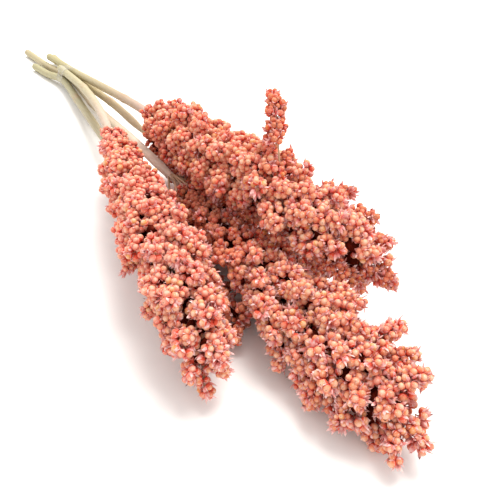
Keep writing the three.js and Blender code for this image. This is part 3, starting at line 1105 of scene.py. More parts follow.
class Moulds:
    """Models the small shapes that every head repeats, each about 1 unit from its middle to its end."""

    # Each ring of the ball that becomes a grain: its height, how far it is raised and how much wider it gets.
    GRAIN_RINGS = ((0.7, 0.13, 0.78), (0.0, 0.36, 0.925), (-0.7, 0.42, 1.37))

    def all(self) -> dict[Shape, Mould]:
        """Model every shape."""
        return {
            Shape.GRAIN: self.grain(7),
            Shape.PLAIN_GRAIN: self.grain(6),
            Shape.HUSK: self.husk(),
            Shape.PETAL: self.petal(),
            Shape.SPINDLE: self.spindle(),
            Shape.STALK: self.stalk(),
        }

    @staticmethod
    def ball(name: str, segments: int, rings: int) -> bpy.types.Object:
        """Put a ball on the bench, from which a shape is made."""
        add = bpy.ops.mesh.primitive_uv_sphere_add
        return Bench.start(name + "_mould", add, segments=segments, ring_count=rings, radius=1.0)

    def grain(self, segments: int) -> Mould:
        """Model a grain: a round outer end, and a lower end that narrows to its stalk."""
        piece = self.ball("grain", segments, 4)
        for middle, raised, wider in self.GRAIN_RINGS:
            Bench.move(piece, lambda p: abs(p.z - middle) < 0.1, (0, 0, raised))
            bpy.ops.transform.resize(value=(wider, wider, 1), center_override=(0, 0, 0))
        return Mould(Bench.finish(piece, 180.0))

    def husk(self) -> Mould:
        """Model a broad, pointed husk that is hollow towards its grain."""
        piece = self.ball("husk", 4, 3)
        Bench.widen(piece, lambda p: abs(p.z) < 0.6, (1.12, 0.5, 1))
        Bench.move(piece, lambda p: abs(p.z) < 0.6 and p.y > 0.2, (0, 0.16, 0))
        Bench.move(piece, lambda p: abs(p.z) < 0.6 and p.y < -0.2, (0, 0.72, 0))
        Bench.widen(piece, lambda p: 0.4 < p.z < 0.6, (0.84, 0.9, 1))
        Bench.move(piece, lambda p: 0.4 < p.z < 0.6, (0, 0, -0.2))
        return Mould(Bench.finish(piece, 35.0))

    def petal(self) -> Mould:
        """Model a narrow, pointed husk with a keel along its back."""
        piece = self.ball("petal", 4, 3)
        Bench.widen(piece, lambda p: True, (1.0, 0.34, 1.0))
        Bench.move(piece, lambda p: 0.4 < p.z < 0.6, (0, 0.3, -0.1))
        Bench.move(piece, lambda p: -0.6 < p.z < -0.4, (0, 0.34, 0.02))
        return Mould(Bench.finish(piece, 35.0))

    def spindle(self) -> Mould:
        """Model the inside of a branch, which is painted dark as shade: a knobbed spindle."""
        piece = self.ball("spindle", 8, 6)
        Bench.widen(piece, lambda p: p.z < -0.5, (0.8, 0.8, 1))
        bpy.ops.mesh.select_all(action="SELECT")
        bpy.ops.transform.vertex_random(offset=0.07, seed=4)
        return Mould(Bench.finish(piece, 180.0))

    def stalk(self) -> Mould:
        """Model a thin, slightly bent stalk that thins towards its end."""
        add = bpy.ops.mesh.primitive_cone_add
        piece = Bench.start("stalk_mould", add, vertices=4, radius1=1.0, radius2=0.6, depth=2.0)
        bpy.ops.mesh.bisect(plane_co=(0, 0, 0), plane_no=(0, 0, 1))
        Bench.move(piece, lambda p: abs(p.z) < 0.1, (0.9, 0, 0))
        return Mould(Bench.finish(piece, 50.0))


@dataclass
class Planting:
    """Grows all branches of the bunch, and finds what room they leave.

    Attributes:
        branches: The branches of each head.
        stem_points: Points on the middle lines of all stems.
        stem_radii: The radius of the stem at each of them.
    """

    branches: dict[str, list[Branch]] = field(default_factory=dict)
    stem_points: np.ndarray = field(init=False)
    stem_radii: np.ndarray = field(init=False)

    SAMPLES = 120  # points on each stem
    FAR = 99.0  # a distance beyond all that matter

    def __post_init__(self) -> None:
        """Sample the stems."""
        self.stem_points = np.concatenate([stem.path.sampled(self.SAMPLES) for stem in STEMS])
        self.stem_radii = np.tile(np.linspace(*STEM_RADIUS, self.SAMPLES), len(STEMS))

    def grow(self) -> None:
        """Grow the branches of every head, in the order in which they make room for each other."""
        taken: list[Rod] = []
        for head in HEADS:
            near = list(taken)
            for other, stem in zip(HEADS, STEMS):
                if other.name != head.name:
                    near += stem.rods() + other.core_rods()
            grown = head.branches(near)
            self.branches[head.name] = grown
            taken += [branch.rod() for branch in grown if not branch.stray]

    @staticmethod
    def height_over(points: np.ndarray, branches: Sequence[Branch]) -> np.ndarray:
        """Give how far points stand out of the nearest of some branches, with rounded ends.

        Args:
            points: The points, in the layout.
            branches: The branches.

        Returns:
            A distance for each point, negative inside a branch.
        """
        nearest = np.full(len(points), Planting.FAR)
        for rod in (branch.rod() for branch in branches):
            course = rod.end - rod.start
            share = ((points - rod.start) @ course / (course @ course)).clip(0, 1)
            away = np.linalg.norm(points - rod.start - share[:, None] * course, axis=1)
            nearest = np.minimum(nearest, away - rod.radius)
        return nearest

    @staticmethod
    def depth_in(points: np.ndarray, branches: Sequence[Branch]) -> np.ndarray:
        """Give how far points lie inside the nearest of some branches.

        Args:
            points: The points, in the layout.
            branches: The branches.

        Returns:
            A distance for each point, negative outside all of them.
        """
        deepest = np.full(len(points), -Planting.FAR)
        for branch in branches:
            away = points - branch.root
            run = away @ branch.along
            off = np.linalg.norm(away - run[:, None] * branch.along, axis=1)
            share = run / branch.length
            inside = branch.radius * spindle_profile(share) - off
            inside = np.where((share > 0) & (share < 1), inside, -Planting.FAR)
            deepest = np.maximum(deepest, inside)
        return deepest

    def room_from_stems(self, points: np.ndarray) -> np.ndarray:
        """Give each point's distance from the nearest stem's surface."""
        apart = np.linalg.norm(points[:, None] - self.stem_points[None], axis=2)
        return (apart - self.stem_radii).min(1)


class Grid:
    """Grains that are placed already, kept in cells so that near ones are found quickly."""

    def __init__(self, cell: float) -> None:
        """Start with no grains and cells of a given width."""
        self.cell = cell
        self.cells: dict[tuple[int, int, int], list[Triple]] = {}

    def cell_of(self, spot: np.ndarray) -> tuple[int, int, int]:
        """Find the cell that a place lies in."""
        i, j, k = (spot // self.cell).astype(int)
        return int(i), int(j), int(k)

    def is_free(self, spot: np.ndarray, apart: float) -> bool:
        """Say whether no grain is nearer to a place than a distance.

        Args:
            spot: The place.
            apart: The least distance to a grain.

        Returns:
            True if the place is free.
        """
        x, y, z = (float(value) for value in spot)
        i, j, k = self.cell_of(spot)
        for a, b, c in product((i - 1, i, i + 1), (j - 1, j, j + 1), (k - 1, k, k + 1)):
            for px, py, pz in self.cells.get((a, b, c), ()):
                if (px - x) ** 2 + (py - y) ** 2 + (pz - z) ** 2 < apart * apart:
                    return False
        return True

    def take(self, spot: np.ndarray) -> None:
        """Put a grain at a place."""
        x, y, z = (float(value) for value in spot)
        self.cells.setdefault(self.cell_of(spot), []).append((x, y, z))


@dataclass
class Cluster:
    """A few grains that grow round the end of one short stalk.

    Attributes:
        middle: The middle of the ball that the grains sit on.
        axis: The direction that it points in.
        foot: Where its stalk leaves the branch.
        share: Where it is along its branch, from root to tip.
    """

    middle: np.ndarray
    axis: np.ndarray
    foot: np.ndarray
    share: float

    STRETCH = 1.12  # of the ball, along its axis
    LOWEST = -0.38  # height of the lowest grains, in ball radii
    UNEVEN = 0.09  # how far the grains stray from their even places, in ball radii

    def grains(self, count: int, spread: float, rng: np.random.Generator) -> tuple[np.ndarray, np.ndarray]:
        """Set grains round the ball, down to a little below its middle.

        Args:
            count: The number of grains.
            spread: Radius of the ball.
            rng: The draws.

        Returns:
            The middles of the grains, and the directions that they point in.
        """
        k = np.arange(count)
        height = 1 - (k + 0.5) / count * (1 - self.LOWEST)
        angles = k * GOLDEN_ANGLE + rng.random() * TURN
        flat = np.sqrt(1 - height**2)
        local = np.stack([flat * np.cos(angles), flat * np.sin(angles), height], 1)
        local += rng.normal(0, self.UNEVEN, local.shape)
        turn = turned(self.axis[None], np.zeros(1))[0]
        away = (local * np.array([1, 1, self.STRETCH])) @ turn.T * spread
        axes = unit(local @ turn.T + 0.5 * self.axis + rng.normal(0, 0.12, local.shape))
        return self.middle + away, axes


@dataclass(frozen=True)
class Neighbours:
    """A branch and the branches near it.

    Attributes:
        branch: The branch.
        rest: The near ones of its own head.
        strange: The near ones of the other heads.
    """

    branch: Branch
    rest: list[Branch]
    strange: list[Branch]


@dataclass(frozen=True)
class Grains:
    """All grains of a head, as the husks that clasp them see them.

    Attributes:
        spots: Their middles.
        turns: Their rotations.
        radii: Their radii.
        full: Where the grain is there and hasn't fallen out.
    """

    spots: np.ndarray
    turns: np.ndarray
    radii: np.ndarray
    full: np.ndarray

    def sides(self, owner: np.ndarray, angle: np.ndarray) -> np.ndarray:
        """Give directions across some grains, at angles round them."""
        first, second = self.turns[owner, :, 0], self.turns[owner, :, 1]
        return first * np.cos(angle)[:, None] + second * np.sin(angle)[:, None]


def leafiness(spots: np.ndarray) -> np.ndarray:
    """Give how large and many the husks are at points, from 0 to 1 at the bunch's end."""
    return np.clip((spots[:, 0] - LEAFY_FROM) / LEAFY_OVER, 0, 1)


@dataclass
class SeedHead:
    """One seed head: clusters of grains in husks, on branches that stand out of an inside in painted shade.

    Attributes:
        plan: Its layout.
        planting: The branches of the whole bunch.
        grid: The grains of the whole bunch.
        moulds: The shapes that it repeats.
        spots: Middles of its own grains.
        axes: Directions that its grains point in.
        ends: Where each grain is along its branch, from root to tip.
        strays: Whether each grain is on a stray.
        kept: Its clusters.
    """

    plan: HeadPlan
    planting: Planting
    grid: Grid
    moulds: dict[Shape, Mould]
    spots: list[np.ndarray] = field(default_factory=list)
    axes: list[np.ndarray] = field(default_factory=list)
    ends: list[float] = field(default_factory=list)
    strays: list[bool] = field(default_factory=list)
    kept: list[Cluster] = field(default_factory=list)

    CLOSEST = 1.46  # least distance between two grains, in grain radii
    BARE = 2.5  # grain radii without a grain, or about that, make a place bare
    STRAY_SIZE = 0.84  # of the usual size, for the grains of a stray
    STRAY_GAP = 0.74  # of the usual gap, between the clusters of a stray
    STRAY_TIP, TIP = 0.86, 0.95  # share of a branch at which its last cluster sits
    STRAY_FOOT, FOOT = 0.06, 0.2  # share of a branch below which it is bare
    FEWEST = 4  # clusters round a branch
    FEWEST_GRAINS = 3  # in a cluster
    PACKING = 0.87  # area that a cluster takes, as a share of its gap squared
    MEASURED = 200  # places at which a branch's surface is measured
    SWELL_SCALE = 0.09  # of the soft pattern by which clusters stand out or are left out
    SWELL = 1.6  # how far it moves them
    SUNKEN = -0.40  # its value below which there is no cluster
    CORE = 0.45  # of the head's radius, in which no cluster sits
    CORE_POINTS = 60  # at which the core is measured
    BURIED, CROWDED = 3.3, 2.2  # depth in a branch of the same head, and of another one
    DEEP, TIGHT = 1.9, 0.8  # the same for a single grain
    OUT, STRAY_OUT = 0.4, -0.7  # how far a grain may stand out of its head's branches
    OFF_STEMS = 1.3  # least distance of a grain's middle from a stem
    LOWEST, RESTING = 0.4, 0.95  # lowest place of a grain before it is raised, and after, in grain radii
    SUNK = 0.9  # how far a cluster sits under its branch's surface, apart from its own radius
    UNEVEN = 0.45  # how far the clusters stray from their even places
    LEAN, LEAN_MORE, TIP_FROM = 0.6, 10.0, 0.72  # of a cluster to the branch's tip, and where it grows
    WOBBLE = 0.15  # how much directions stray
    MISSING_AT_TIP, MISSING = 0.15, 0.05  # share of the grains that have fallen out
    VARIED, SLIMMER, FATTER = 0.07, -0.15, 0.13  # how unlike the grains' radii are, and by how much at most
    RUNTS, RUNT_SIZE = 0.08, 0.8  # share of the grains that are small, and their size
    LONGER = 1.1  # length of a grain, as a share of its width
    CLASPED = 0.86  # share of the broad husks that are there
    FLARE, TOP, BREADTH = (0.96, 1.18), (0.0, 0.45), (0.62, 0.74)  # reach, height and half width, in radii
    ONE_PETAL, TWO_PETALS, TUFT = 0.72, 1.22, 4  # draws that give narrow husks, and how many are a tuft
    PETAL_LENGTH, PETAL_LEAN, PETAL_WIDTH = (1.6, 2.3), (0.0, 0.28), (0.55, 0.95)
    OCHRE_FROM, PINKEST = 0.95, 0.94  # a few hues are above the first, and the others up to the second
    SHADE_FADE = 40.0  # length over which the painted shade on the grains between the heads fades out
    SUNK_HEART = 4.5  # how far the inside, in painted shade, lies under a branch's surface
    TAN = (0.0, 1.0, 0.5)  # tone of the stalks that stand out of the head

    def __post_init__(self) -> None:
        """Find its branches and start its draws."""
        self.own = self.planting.branches[self.plan.name]
        self.rng = np.random.default_rng(self.plan.seed)

    @cached_property
    def core(self) -> tuple[np.ndarray, np.ndarray]:
        """Give points on the axis, and the radius of the core at each."""
        shares = [i / (self.CORE_POINTS - 1) for i in range(self.CORE_POINTS)]
        radii = [value_at(self.plan.radii, share) * self.CORE for share in shares]
        return self.plan.path.sampled(self.CORE_POINTS), np.array(radii)

    def neighbours(self, branch: Branch) -> Neighbours:
        """Find the branches near one."""
        heads = self.planting.branches.values()
        near = [[b for b in grown if b is not branch and b.is_near(branch)] for grown in heads]
        rest = near.pop(list(self.planting.branches).index(self.plan.name))
        return Neighbours(branch, rest, sum(near, []))

    def clusters_on(self, branch: Branch) -> list[Cluster]:
        """Set clusters in a spiral round a branch, and one on its tip."""
        fine = np.linspace(0, 1, self.MEASURED)
        sums = np.concatenate([[0], np.cumsum(spindle_profile((fine[1:] + fine[:-1]) / 2))])
        area = TURN * branch.radius * branch.length * sums[-1] / (self.MEASURED - 1)
        gap = self.plan.gap * (self.STRAY_GAP if branch.stray else 1.0)
        count = max(self.FEWEST, int(area / (gap**2 * self.PACKING)))
        even = (np.arange(count) + 0.5) / count
        last = self.STRAY_TIP if branch.stray else self.TIP
        shares = np.append(np.interp(even, sums / sums[-1], fine), last)
        angles = np.arange(count + 1) * GOLDEN_ANGLE + self.rng.random() * TURN
        along, (side, over) = branch.along, branch.across()
        found = []
        for share, angle in zip(shares, angles):
            out = math.cos(angle) * side + math.sin(angle) * over
            on_axis = branch.root + share * branch.length * along
            radius = max(branch.radius * float(spindle_profile(share)) - self.plan.spread - self.SUNK, 0.0)
            middle = on_axis + radius * out
            swell = noise.noise(Vector(middle) * self.SWELL_SCALE)
            if (swell < self.SUNKEN and not branch.stray) or in_hollow(middle):
                continue
            middle = middle + out * (self.SWELL * swell) + self.rng.normal(0, self.UNEVEN, 3)
            lean = self.LEAN + self.LEAN_MORE * max(0.0, share - self.TIP_FROM)
            axis = unit(out + lean * along + self.rng.normal(0, self.WOBBLE, 3))
            found.append(Cluster(middle, axis, on_axis - along * 3, float(share)))
        return found

    def in_the_open(self, near: Neighbours) -> list[Cluster]:
        """Give a branch's clusters without those at its foot, in a neighbour or in the core."""
        branch = near.branch
        foot = self.STRAY_FOOT if branch.stray else self.FOOT
        clusters = [cluster for cluster in self.clusters_on(branch) if cluster.share > foot]
        middles = np.array([cluster.middle for cluster in clusters]).reshape(-1, 3)
        line, cores = self.core
        keep = self.planting.depth_in(middles, near.rest) < self.BURIED
        keep &= self.planting.depth_in(middles, near.strange) < self.CROWDED
        keep &= (np.linalg.norm(middles[:, None] - line[None], axis=2) > cores).all(1) | branch.stray
        return [cluster for cluster, good in zip(clusters, keep) if good]

    def sow(self) -> None:
        """Place the grains: in clusters first, and then alone where a branch is still bare."""
        places = [self.neighbours(branch) for branch in self.own]
        plenty = []
        for near in places:
            clusters, stray = self.in_the_open(near), near.branch.stray
            if not clusters:
                continue
            sets = []
            for cluster in clusters:
                narrowed = 1 - 0.5 * stray * max(0.0, cluster.share - 0.45)
                sets.append(cluster.grains(self.plan.grains, self.plan.spread * narrowed, self.rng))
            good = self.fits(np.concatenate([spots for spots, _ in sets]), near)
            for cluster, (spots, axes), fit in zip(clusters, sets, good.reshape(len(clusters), -1)):
                plenty.append((cluster, spots[fit], axes[fit], stray))
        for i in self.rng.permutation(len(plenty)):
            cluster, spots, axes, stray = plenty[i]
            apart = self.CLOSEST * self.plan.size * (self.STRAY_SIZE if stray else 1.0)
            free = [j for j in range(len(spots)) if self.grid.is_free(spots[j], apart)]
            if len(free) < self.FEWEST_GRAINS:
                continue
            self.kept.append(cluster)
            for j in free:
                self.set_grain(spots[j], axes[j], cluster.share, stray)
        for near in places:
            self.fill(near)

    def set_grain(self, spot: np.ndarray, axis: np.ndarray, share: float, stray: bool) -> None:
        """Set one grain at a place, pointing along an axis, not lower than the floor."""
        spot[2] = max(spot[2], self.plan.size * self.RESTING)
        self.grid.take(spot)
        self.spots.append(spot)
        self.axes.append(axis)
        self.ends.append(share)
        self.strays.append(stray)

    def fits(self, spots: np.ndarray, near: Neighbours) -> np.ndarray:
        """Say which grains of a branch would be in the open, clear of the stems and inside the box."""
        over = self.planting.height_over(spots, [near.branch, *near.rest])
        good = self.planting.depth_in(spots, near.rest) < self.DEEP
        good &= self.planting.depth_in(spots, near.strange) < self.TIGHT
        good &= over < (self.STRAY_OUT if near.branch.stray else self.OUT)
        good &= self.planting.room_from_stems(spots) > self.OFF_STEMS
        good &= spots[:, 2] > self.plan.size * self.LOWEST
        good &= ((spots > BOX_LOW) & (spots < BOX_HIGH - self.plan.size)).all(1)
        return good & (spots[:, 1] > BOX_LOW[1] + self.plan.size)

    def fill(self, near: Neighbours) -> None:
        """Set single grains where the clusters leave a branch bare."""
        branch, rng = near.branch, self.rng
        count = int(branch.length * branch.radius)
        shares, angles = rng.uniform(0.12, 0.98, count), rng.uniform(0, TURN, count)
        side, over = branch.across()
        out = np.cos(angles)[:, None] * side + np.sin(angles)[:, None] * over
        radii = np.maximum(branch.radius * spindle_profile(shares) - self.DEEP, 0.0)
        spots = branch.root + (shares * branch.length)[:, None] * branch.along + radii[:, None] * out
        axes = unit(out + self.LEAN * branch.along + rng.normal(0, self.WOBBLE, out.shape))
        for j in np.flatnonzero(self.fits(spots, near) & ~in_hollow(spots)):
            if self.grid.is_free(spots[j], self.BARE * self.plan.size):
                self.set_grain(spots[j], axes[j], float(shares[j]), branch.stray)

    def build(self, finishes: dict[Look, bpy.types.Material]) -> list[bpy.types.Object]:
        """Build the head's pieces from its grains, in the finishes given."""
        rng = self.rng = np.random.default_rng(self.plan.seed + 100)
        spots, ends, stray = np.array(self.spots), np.array(self.ends), np.array(self.strays)
        count = len(spots)
        turns = turned(np.array(self.axes), rng.random(count) * TURN)
        scale = 1 + rng.normal(0, self.VARIED, count).clip(self.SLIMMER, self.FATTER)
        scale[rng.random(count) < self.RUNTS] *= self.RUNT_SIZE
        scale[stray] *= self.STRAY_SIZE
        sizes = self.plan.size * scale[:, None] * np.array([1, 1, self.LONGER])
        full = rng.random(count) > np.where(ends > 0.9, self.MISSING_AT_TIP, self.MISSING)
        tones = self.tones(spots, stray)
        grains = Grains(spots, turns, sizes[:, 0], full)
        mould = self.moulds[self.plan.mould]
        parts = {
            "grains": (Look.GRAIN, Crowd(mould, spots[full], turns[full], sizes[full], tones[full])),
            "husks": (Look.HUSK, self.husks(grains)),
            "petals": (Look.HUSK, self.petals(grains)),
            "shaded_heart": (Look.HEART, self.shaded_heart()),
            "stalks": (Look.STALK, self.stalks()),
        }
        name = "head_" + self.plan.name
        pieces = [crowd.build(f"{name}_{part}", finishes[look]) for part, (look, crowd) in parts.items()]
        for piece in pieces:
            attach(piece, "root")
            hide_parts(name)
        return pieces

    def tones(self, spots: np.ndarray, stray: np.ndarray) -> np.ndarray:
        """Draw each grain's hue, lightness and mark; the lightness sets its painted shade and painted
        highlight, and falls below 0 on dull strays and on grains in painted shade between the heads.
        """
        hue, light, mark = self.rng.random((len(spots), 3)).T
        hue = np.clip(hue + self.plan.pink, 0, np.where(hue > self.OCHRE_FROM, 1.0, self.PINKEST))
        light = np.clip(light + self.plan.pale, 0, 1) - self.plan.dull * stray
        leafy = leafiness(spots)
        hue = hue - np.where(hue < self.PINKEST, 0.25 * leafy, 0)
        light = light + 0.1 * leafy * (1 - light)
        # painted shade on the grains that lie between the heads, in the others' shade
        light = light - 1.1 * np.clip((self.plan.painted_shade_to - spots[:, 0]) / self.SHADE_FADE, 0, 1)
        return np.stack([hue, light, mark], 1)

    def leaves(
        self, shape: Shape, foot: np.ndarray, tip: np.ndarray, out: np.ndarray, wide: np.ndarray
    ) -> Crowd:
        """Set pointed leaves from their feet to their tips.

        Args:
            shape: The shape of one.
            foot: Where each begins.
            tip: Where each ends.
            out: The direction that the back of each faces, roughly.
            wide: Half the width of each.

        Returns:
            The leaves.
        """
        half = np.linalg.norm(tip - foot, axis=1, keepdims=True) / 2
        course = (tip - foot) / (2 * half)
        across = unit(np.cross(out, course))
        rotations = np.stack([across, np.cross(course, across), course], axis=2)
        sizes = np.concatenate([wide[:, None], wide[:, None], half], 1)
        middles = (foot + tip) / 2
        tones = self.rng.random((len(foot), 3))
        tones[:, :2] += 0.2 * leafiness(middles)[:, None]
        return Crowd(self.moulds[shape], middles, rotations, sizes, tones.clip(0, 1))

    def husks(self, grains: Grains) -> Crowd:
        """Clasp each grain between two broad husks, which stay as an open pair where it has fallen out."""
        rng = self.rng
        owner = np.repeat(np.arange(len(grains.spots)), 2)
        angle = np.tile([0.0, math.pi], len(grains.spots)) + rng.normal(0, 0.25, len(owner))
        kept = (rng.random(len(owner)) < self.CLASPED) | ~grains.full[owner]
        owner, angle = owner[kept], angle[kept]
        side, axis = grains.sides(owner, angle), grains.turns[owner, :, 2]
        spots, r = grains.spots[owner], grains.radii[owner][:, None]
        bare, leafy = ~grains.full[owner][:, None], leafiness(spots)[:, None]
        flare = rng.uniform(*self.FLARE, r.shape) - 0.3 * bare
        top = rng.uniform(*self.TOP, r.shape) + 0.7 * leafy + 0.2 * bare
        foot = spots + r * (0.3 * side - 1.02 * axis)
        tip = spots + r * (flare * side + top * axis)
        wide = (r * (rng.uniform(*self.BREADTH, r.shape) + 0.08 * leafy))[:, 0]
        return self.leaves(Shape.HUSK, foot, tip, side, wide)

    def petals(self, grains: Grains) -> Crowd:
        """Set narrow pointed husks beside the grains, and tufts of them where a grain has fallen out."""
        rng = self.rng
        leafy = leafiness(grains.spots)
        draws = rng.random(len(leafy)) + 0.45 * leafy
        number = np.where(grains.full, np.digitize(draws, [self.ONE_PETAL, self.TWO_PETALS]), self.TUFT)
        owner = np.repeat(np.arange(len(number)), number)
        turn = np.concatenate([np.arange(n) / max(n, 1) for n in number]) * TURN
        angle = turn + rng.random(len(owner)) * 1.4
        side, axis = grains.sides(owner, angle), grains.turns[owner, :, 2]
        bare, r = ~grains.full[owner][:, None], self.plan.size
        foot = grains.spots[owner] + r * (np.where(bare, 0.2, 0.85) * side - 0.8 * axis)
        length = (rng.uniform(*self.PETAL_LENGTH, len(owner)) + 0.5 * leafy[owner])[:, None] * r
        lean = np.where(bare, 0.5, rng.uniform(*self.PETAL_LEAN, bare.shape))
        tip = foot + length * unit(axis + side * lean)
        return self.leaves(Shape.PETAL, foot, tip, side, rng.uniform(*self.PETAL_WIDTH, len(owner)))

    def shaded_heart(self) -> Crowd:
        """Fill each stout branch with a spindle in near-black painted shade, on which the clusters sit."""
        stout = [b for b in self.own if b.radius > 5.4 and not b.stray]
        places = np.array([(b.root + b.tip) / 2 - b.along * 3 for b in stout])
        radii = np.array([b.radius - self.SUNK_HEART for b in stout])
        sizes = np.stack([radii, radii, [b.length / 2 - self.SUNK_HEART for b in stout]], 1)
        turns = turned(np.array([b.along for b in stout]), self.rng.random(len(stout)) * ROLL)
        return Crowd(self.moulds[Shape.SPINDLE], places, turns, sizes, self.rng.random((len(stout), 3)))

    def stalks(self) -> Crowd:
        """Run a thin stalk to each cluster and each stray, and the bare stalks out of the head."""
        starts = [cluster.foot for cluster in self.kept]
        ends = [cluster.middle + cluster.axis * 1.5 for cluster in self.kept]
        radii = list(self.rng.uniform(0.32, 0.5, len(starts)))
        spines = [(b.root, b.tip - 4 * b.along, 1.1) for b in self.own if b.stray]
        for root, tip, radius in (*self.plan.stalks, *spines):
            starts.append(np.array(root, float))
            ends.append(np.array(tip, float))
            radii.append(radius * 0.7)
        starts, ends, radii = np.array(starts), np.array(ends), np.array(radii)
        sizes = np.stack([radii, radii, np.linalg.norm(ends - starts, axis=1) / 2], 1)
        turns = turned(unit(ends - starts), self.rng.random(len(radii)) * ROLL)
        tones = self.rng.random((len(radii), 3))
        tones[len(self.kept):] = self.TAN
        return Crowd(self.moulds[Shape.STALK], (starts + ends) / 2, turns, sizes, tones)


@dataclass
class Stem:
    """One stem, from its cut end to the neck of its head.

    Attributes:
        plan: Its course.
        finish: Its finish.
        joint: Share of its length at which it has a joint.
        sides: Sides of its section.
        steps: Rings along it.
    """

    plan: StemPlan
    finish: StemFinish
    joint: float
    sides: int = 16
    steps: int = 56

    SWELLING = 0.55  # how far a joint stands out
    NECK = 0.92  # share of the length from which it narrows into its head
    SLIM = 0.965  # its usual radius, as a share of the solid's
    RIM = 0.7  # width of the cut end's rim
    SUNK = 1.2  # how far the pith is sunk
    LINE = 200  # points at which its course is measured

    def radius_at(self, share: float) -> float:
        """Give its radius at a share of its length, in millimetres."""
        radius = stem_radius(share) + self.SWELLING * math.exp(-(((share - self.joint) * 60) ** 2))
        radius *= 1 - 0.5 * max(0.0, (share - self.NECK) / (1 - self.NECK)) ** 1.5
        return radius * (self.SLIM + 0.02 * math.sin(share * 41) * math.sin(share * 17 + 1))

    def build(self) -> bpy.types.Object:
        """Build the stem by drawing a round section along its course."""
        path = self.plan.path
        start = placed(path.at(0.0))
        before, radius = start, self.radius_at(0.0)
        piece = Bench.start(
            "cane_" + self.plan.name, bpy.ops.mesh.primitive_circle_add,
            vertices=self.sides, radius=radius * MM, fill_type="NGON",
            location=tuple(start), rotation=(0, math.pi / 2, 0),
        )
        for step in range(1, self.steps + 1):
            share = step / self.steps
            here = placed(path.at(share))
            bpy.ops.mesh.extrude_region_move(TRANSFORM_OT_translate={"value": tuple(here - before)})
            grown = self.radius_at(share) / radius
            bpy.ops.transform.resize(value=(1, grown, grown), center_override=tuple(here))
            before, radius = here, self.radius_at(share)
        self.hollow(piece, start)
        Bench.finish(piece, 40.0)
        self.mark(piece, path)
        piece.data.materials.append(self.finish.make())
        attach(piece, "root")
        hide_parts("stem_" + self.plan.name)
        return piece

    def hollow(self, piece: bpy.types.Object, start: np.ndarray) -> None:
        """Sink the pith a little into the cut end, inside the rim, and raise its middle again.

        Args:
            piece: The stem, in edit mode.
            start: Middle of the cut end.
        """
        Bench.pick(piece, lambda p: p.x < start[0] + 1e-5)
        bpy.ops.mesh.inset(thickness=self.RIM * MM, depth=0)
        bpy.ops.mesh.extrude_region_move(TRANSFORM_OT_translate={"value": (self.SUNK * MM, 0, 0)})
        bpy.ops.mesh.inset(thickness=2 * self.RIM * MM, depth=0)
        bpy.ops.transform.translate(value=(-0.5 * MM, 0, 0))
        bpy.ops.mesh.select_all(action="SELECT")
        bpy.ops.mesh.normals_make_consistent(inside=False)

    def mark(self, piece: bpy.types.Object, path: Path) -> None:
        """Write what the finish reads: the share of the length, the joint and the cut face.

        Args:
            piece: The stem.
            path: Its middle line.
        """
        spots = vertices_of(piece)
        line = path.sampled(self.LINE)
        share = np.interp(spots[:, 0], line[:, 0], np.linspace(0, 1, self.LINE))
        joint = np.exp(-(((share - self.joint) * 45) ** 2))
        middle = np.array([path.at(s) for s in share])
        off = np.linalg.norm((spots - middle)[:, 1:], axis=1)
        pith = (spots[:, 0] < line[0, 0] + 2) & (off < STEM_RADIUS[0] - 0.9)
        write_attribute(piece.data, STEM_PLACE, np.stack([share, joint, pith.astype(float)], 1))


@dataclass
class Band:
    """The clear tape round the stems where they cross.

    Attributes:
        middle: Where it is along the bunch, in the layout.
        width: Its width.
        thickness: Its thickness.
        points: Points of its outline.
    """

    middle: float = -254.0
    width: float = 16.0
    thickness: float = 0.5
    points: int = 56

    STRIPS = 8  # across its width
    OFF = 0.1  # how far it lies off the stems, past the clearance

    def outline(self) -> np.ndarray:
        """Find the loop round the stems, as points across the bunch."""
        centres = []
        for stem in STEMS:
            line = stem.path.sampled(400)
            for x in (self.middle - self.width / 2, self.middle, self.middle + self.width / 2):
                if x > line[0, 0]:
                    centres.append([np.interp(x, line[:, 0], line[:, axis]) for axis in (1, 2)])
        centres = np.array(centres)
        angles = np.arange(self.points) / self.points * TURN
        normals = np.stack([np.cos(angles), np.sin(angles)], 1)
        furthest = centres[np.argmax(centres @ normals.T, axis=0)]
        return furthest + normals * (STEM_RADIUS[0] + GAP + self.OFF)

    def build(self) -> bpy.types.Object:
        """Build the tape by drawing its outline across its width, slightly creased."""
        left = self.middle - self.width / 2
        ring = bpy.ops.mesh.primitive_circle_add
        piece = Bench.start("band_tape", ring, vertices=self.points, radius=0.01, fill_type="NOTHING")
        body = bmesh.from_edit_mesh(piece.data)
        for vertex, (y, z) in zip(body.verts, self.outline()):
            vertex.co = Vector(placed(np.array([left, y, z])))
        bmesh.update_edit_mesh(piece.data)
        bpy.ops.mesh.select_all(action="SELECT")
        step = (self.width / self.STRIPS * MM, 0, 0)
        for _ in range(self.STRIPS):
            bpy.ops.mesh.extrude_region_move(TRANSFORM_OT_translate={"value": step})
        bpy.ops.mesh.select_all(action="SELECT")
        bpy.ops.transform.vertex_random(offset=0.12 * MM, seed=2)
        bpy.ops.mesh.normals_make_consistent(inside=False)
        Bench.apply(piece, "SOLIDIFY", thickness=self.thickness * MM, offset=1.0)
        Bench.finish(piece, 40.0)
        across = np.abs(vertices_of(piece)[:, 0] - self.middle) / (self.width / 2)
        write_attribute(piece.data, BAND_PLACE, np.stack([across, across * 0, across * 0], 1))
        piece.data.materials.append(BandFinish().make())
        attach(piece, "root")
        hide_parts("band")
        return piece


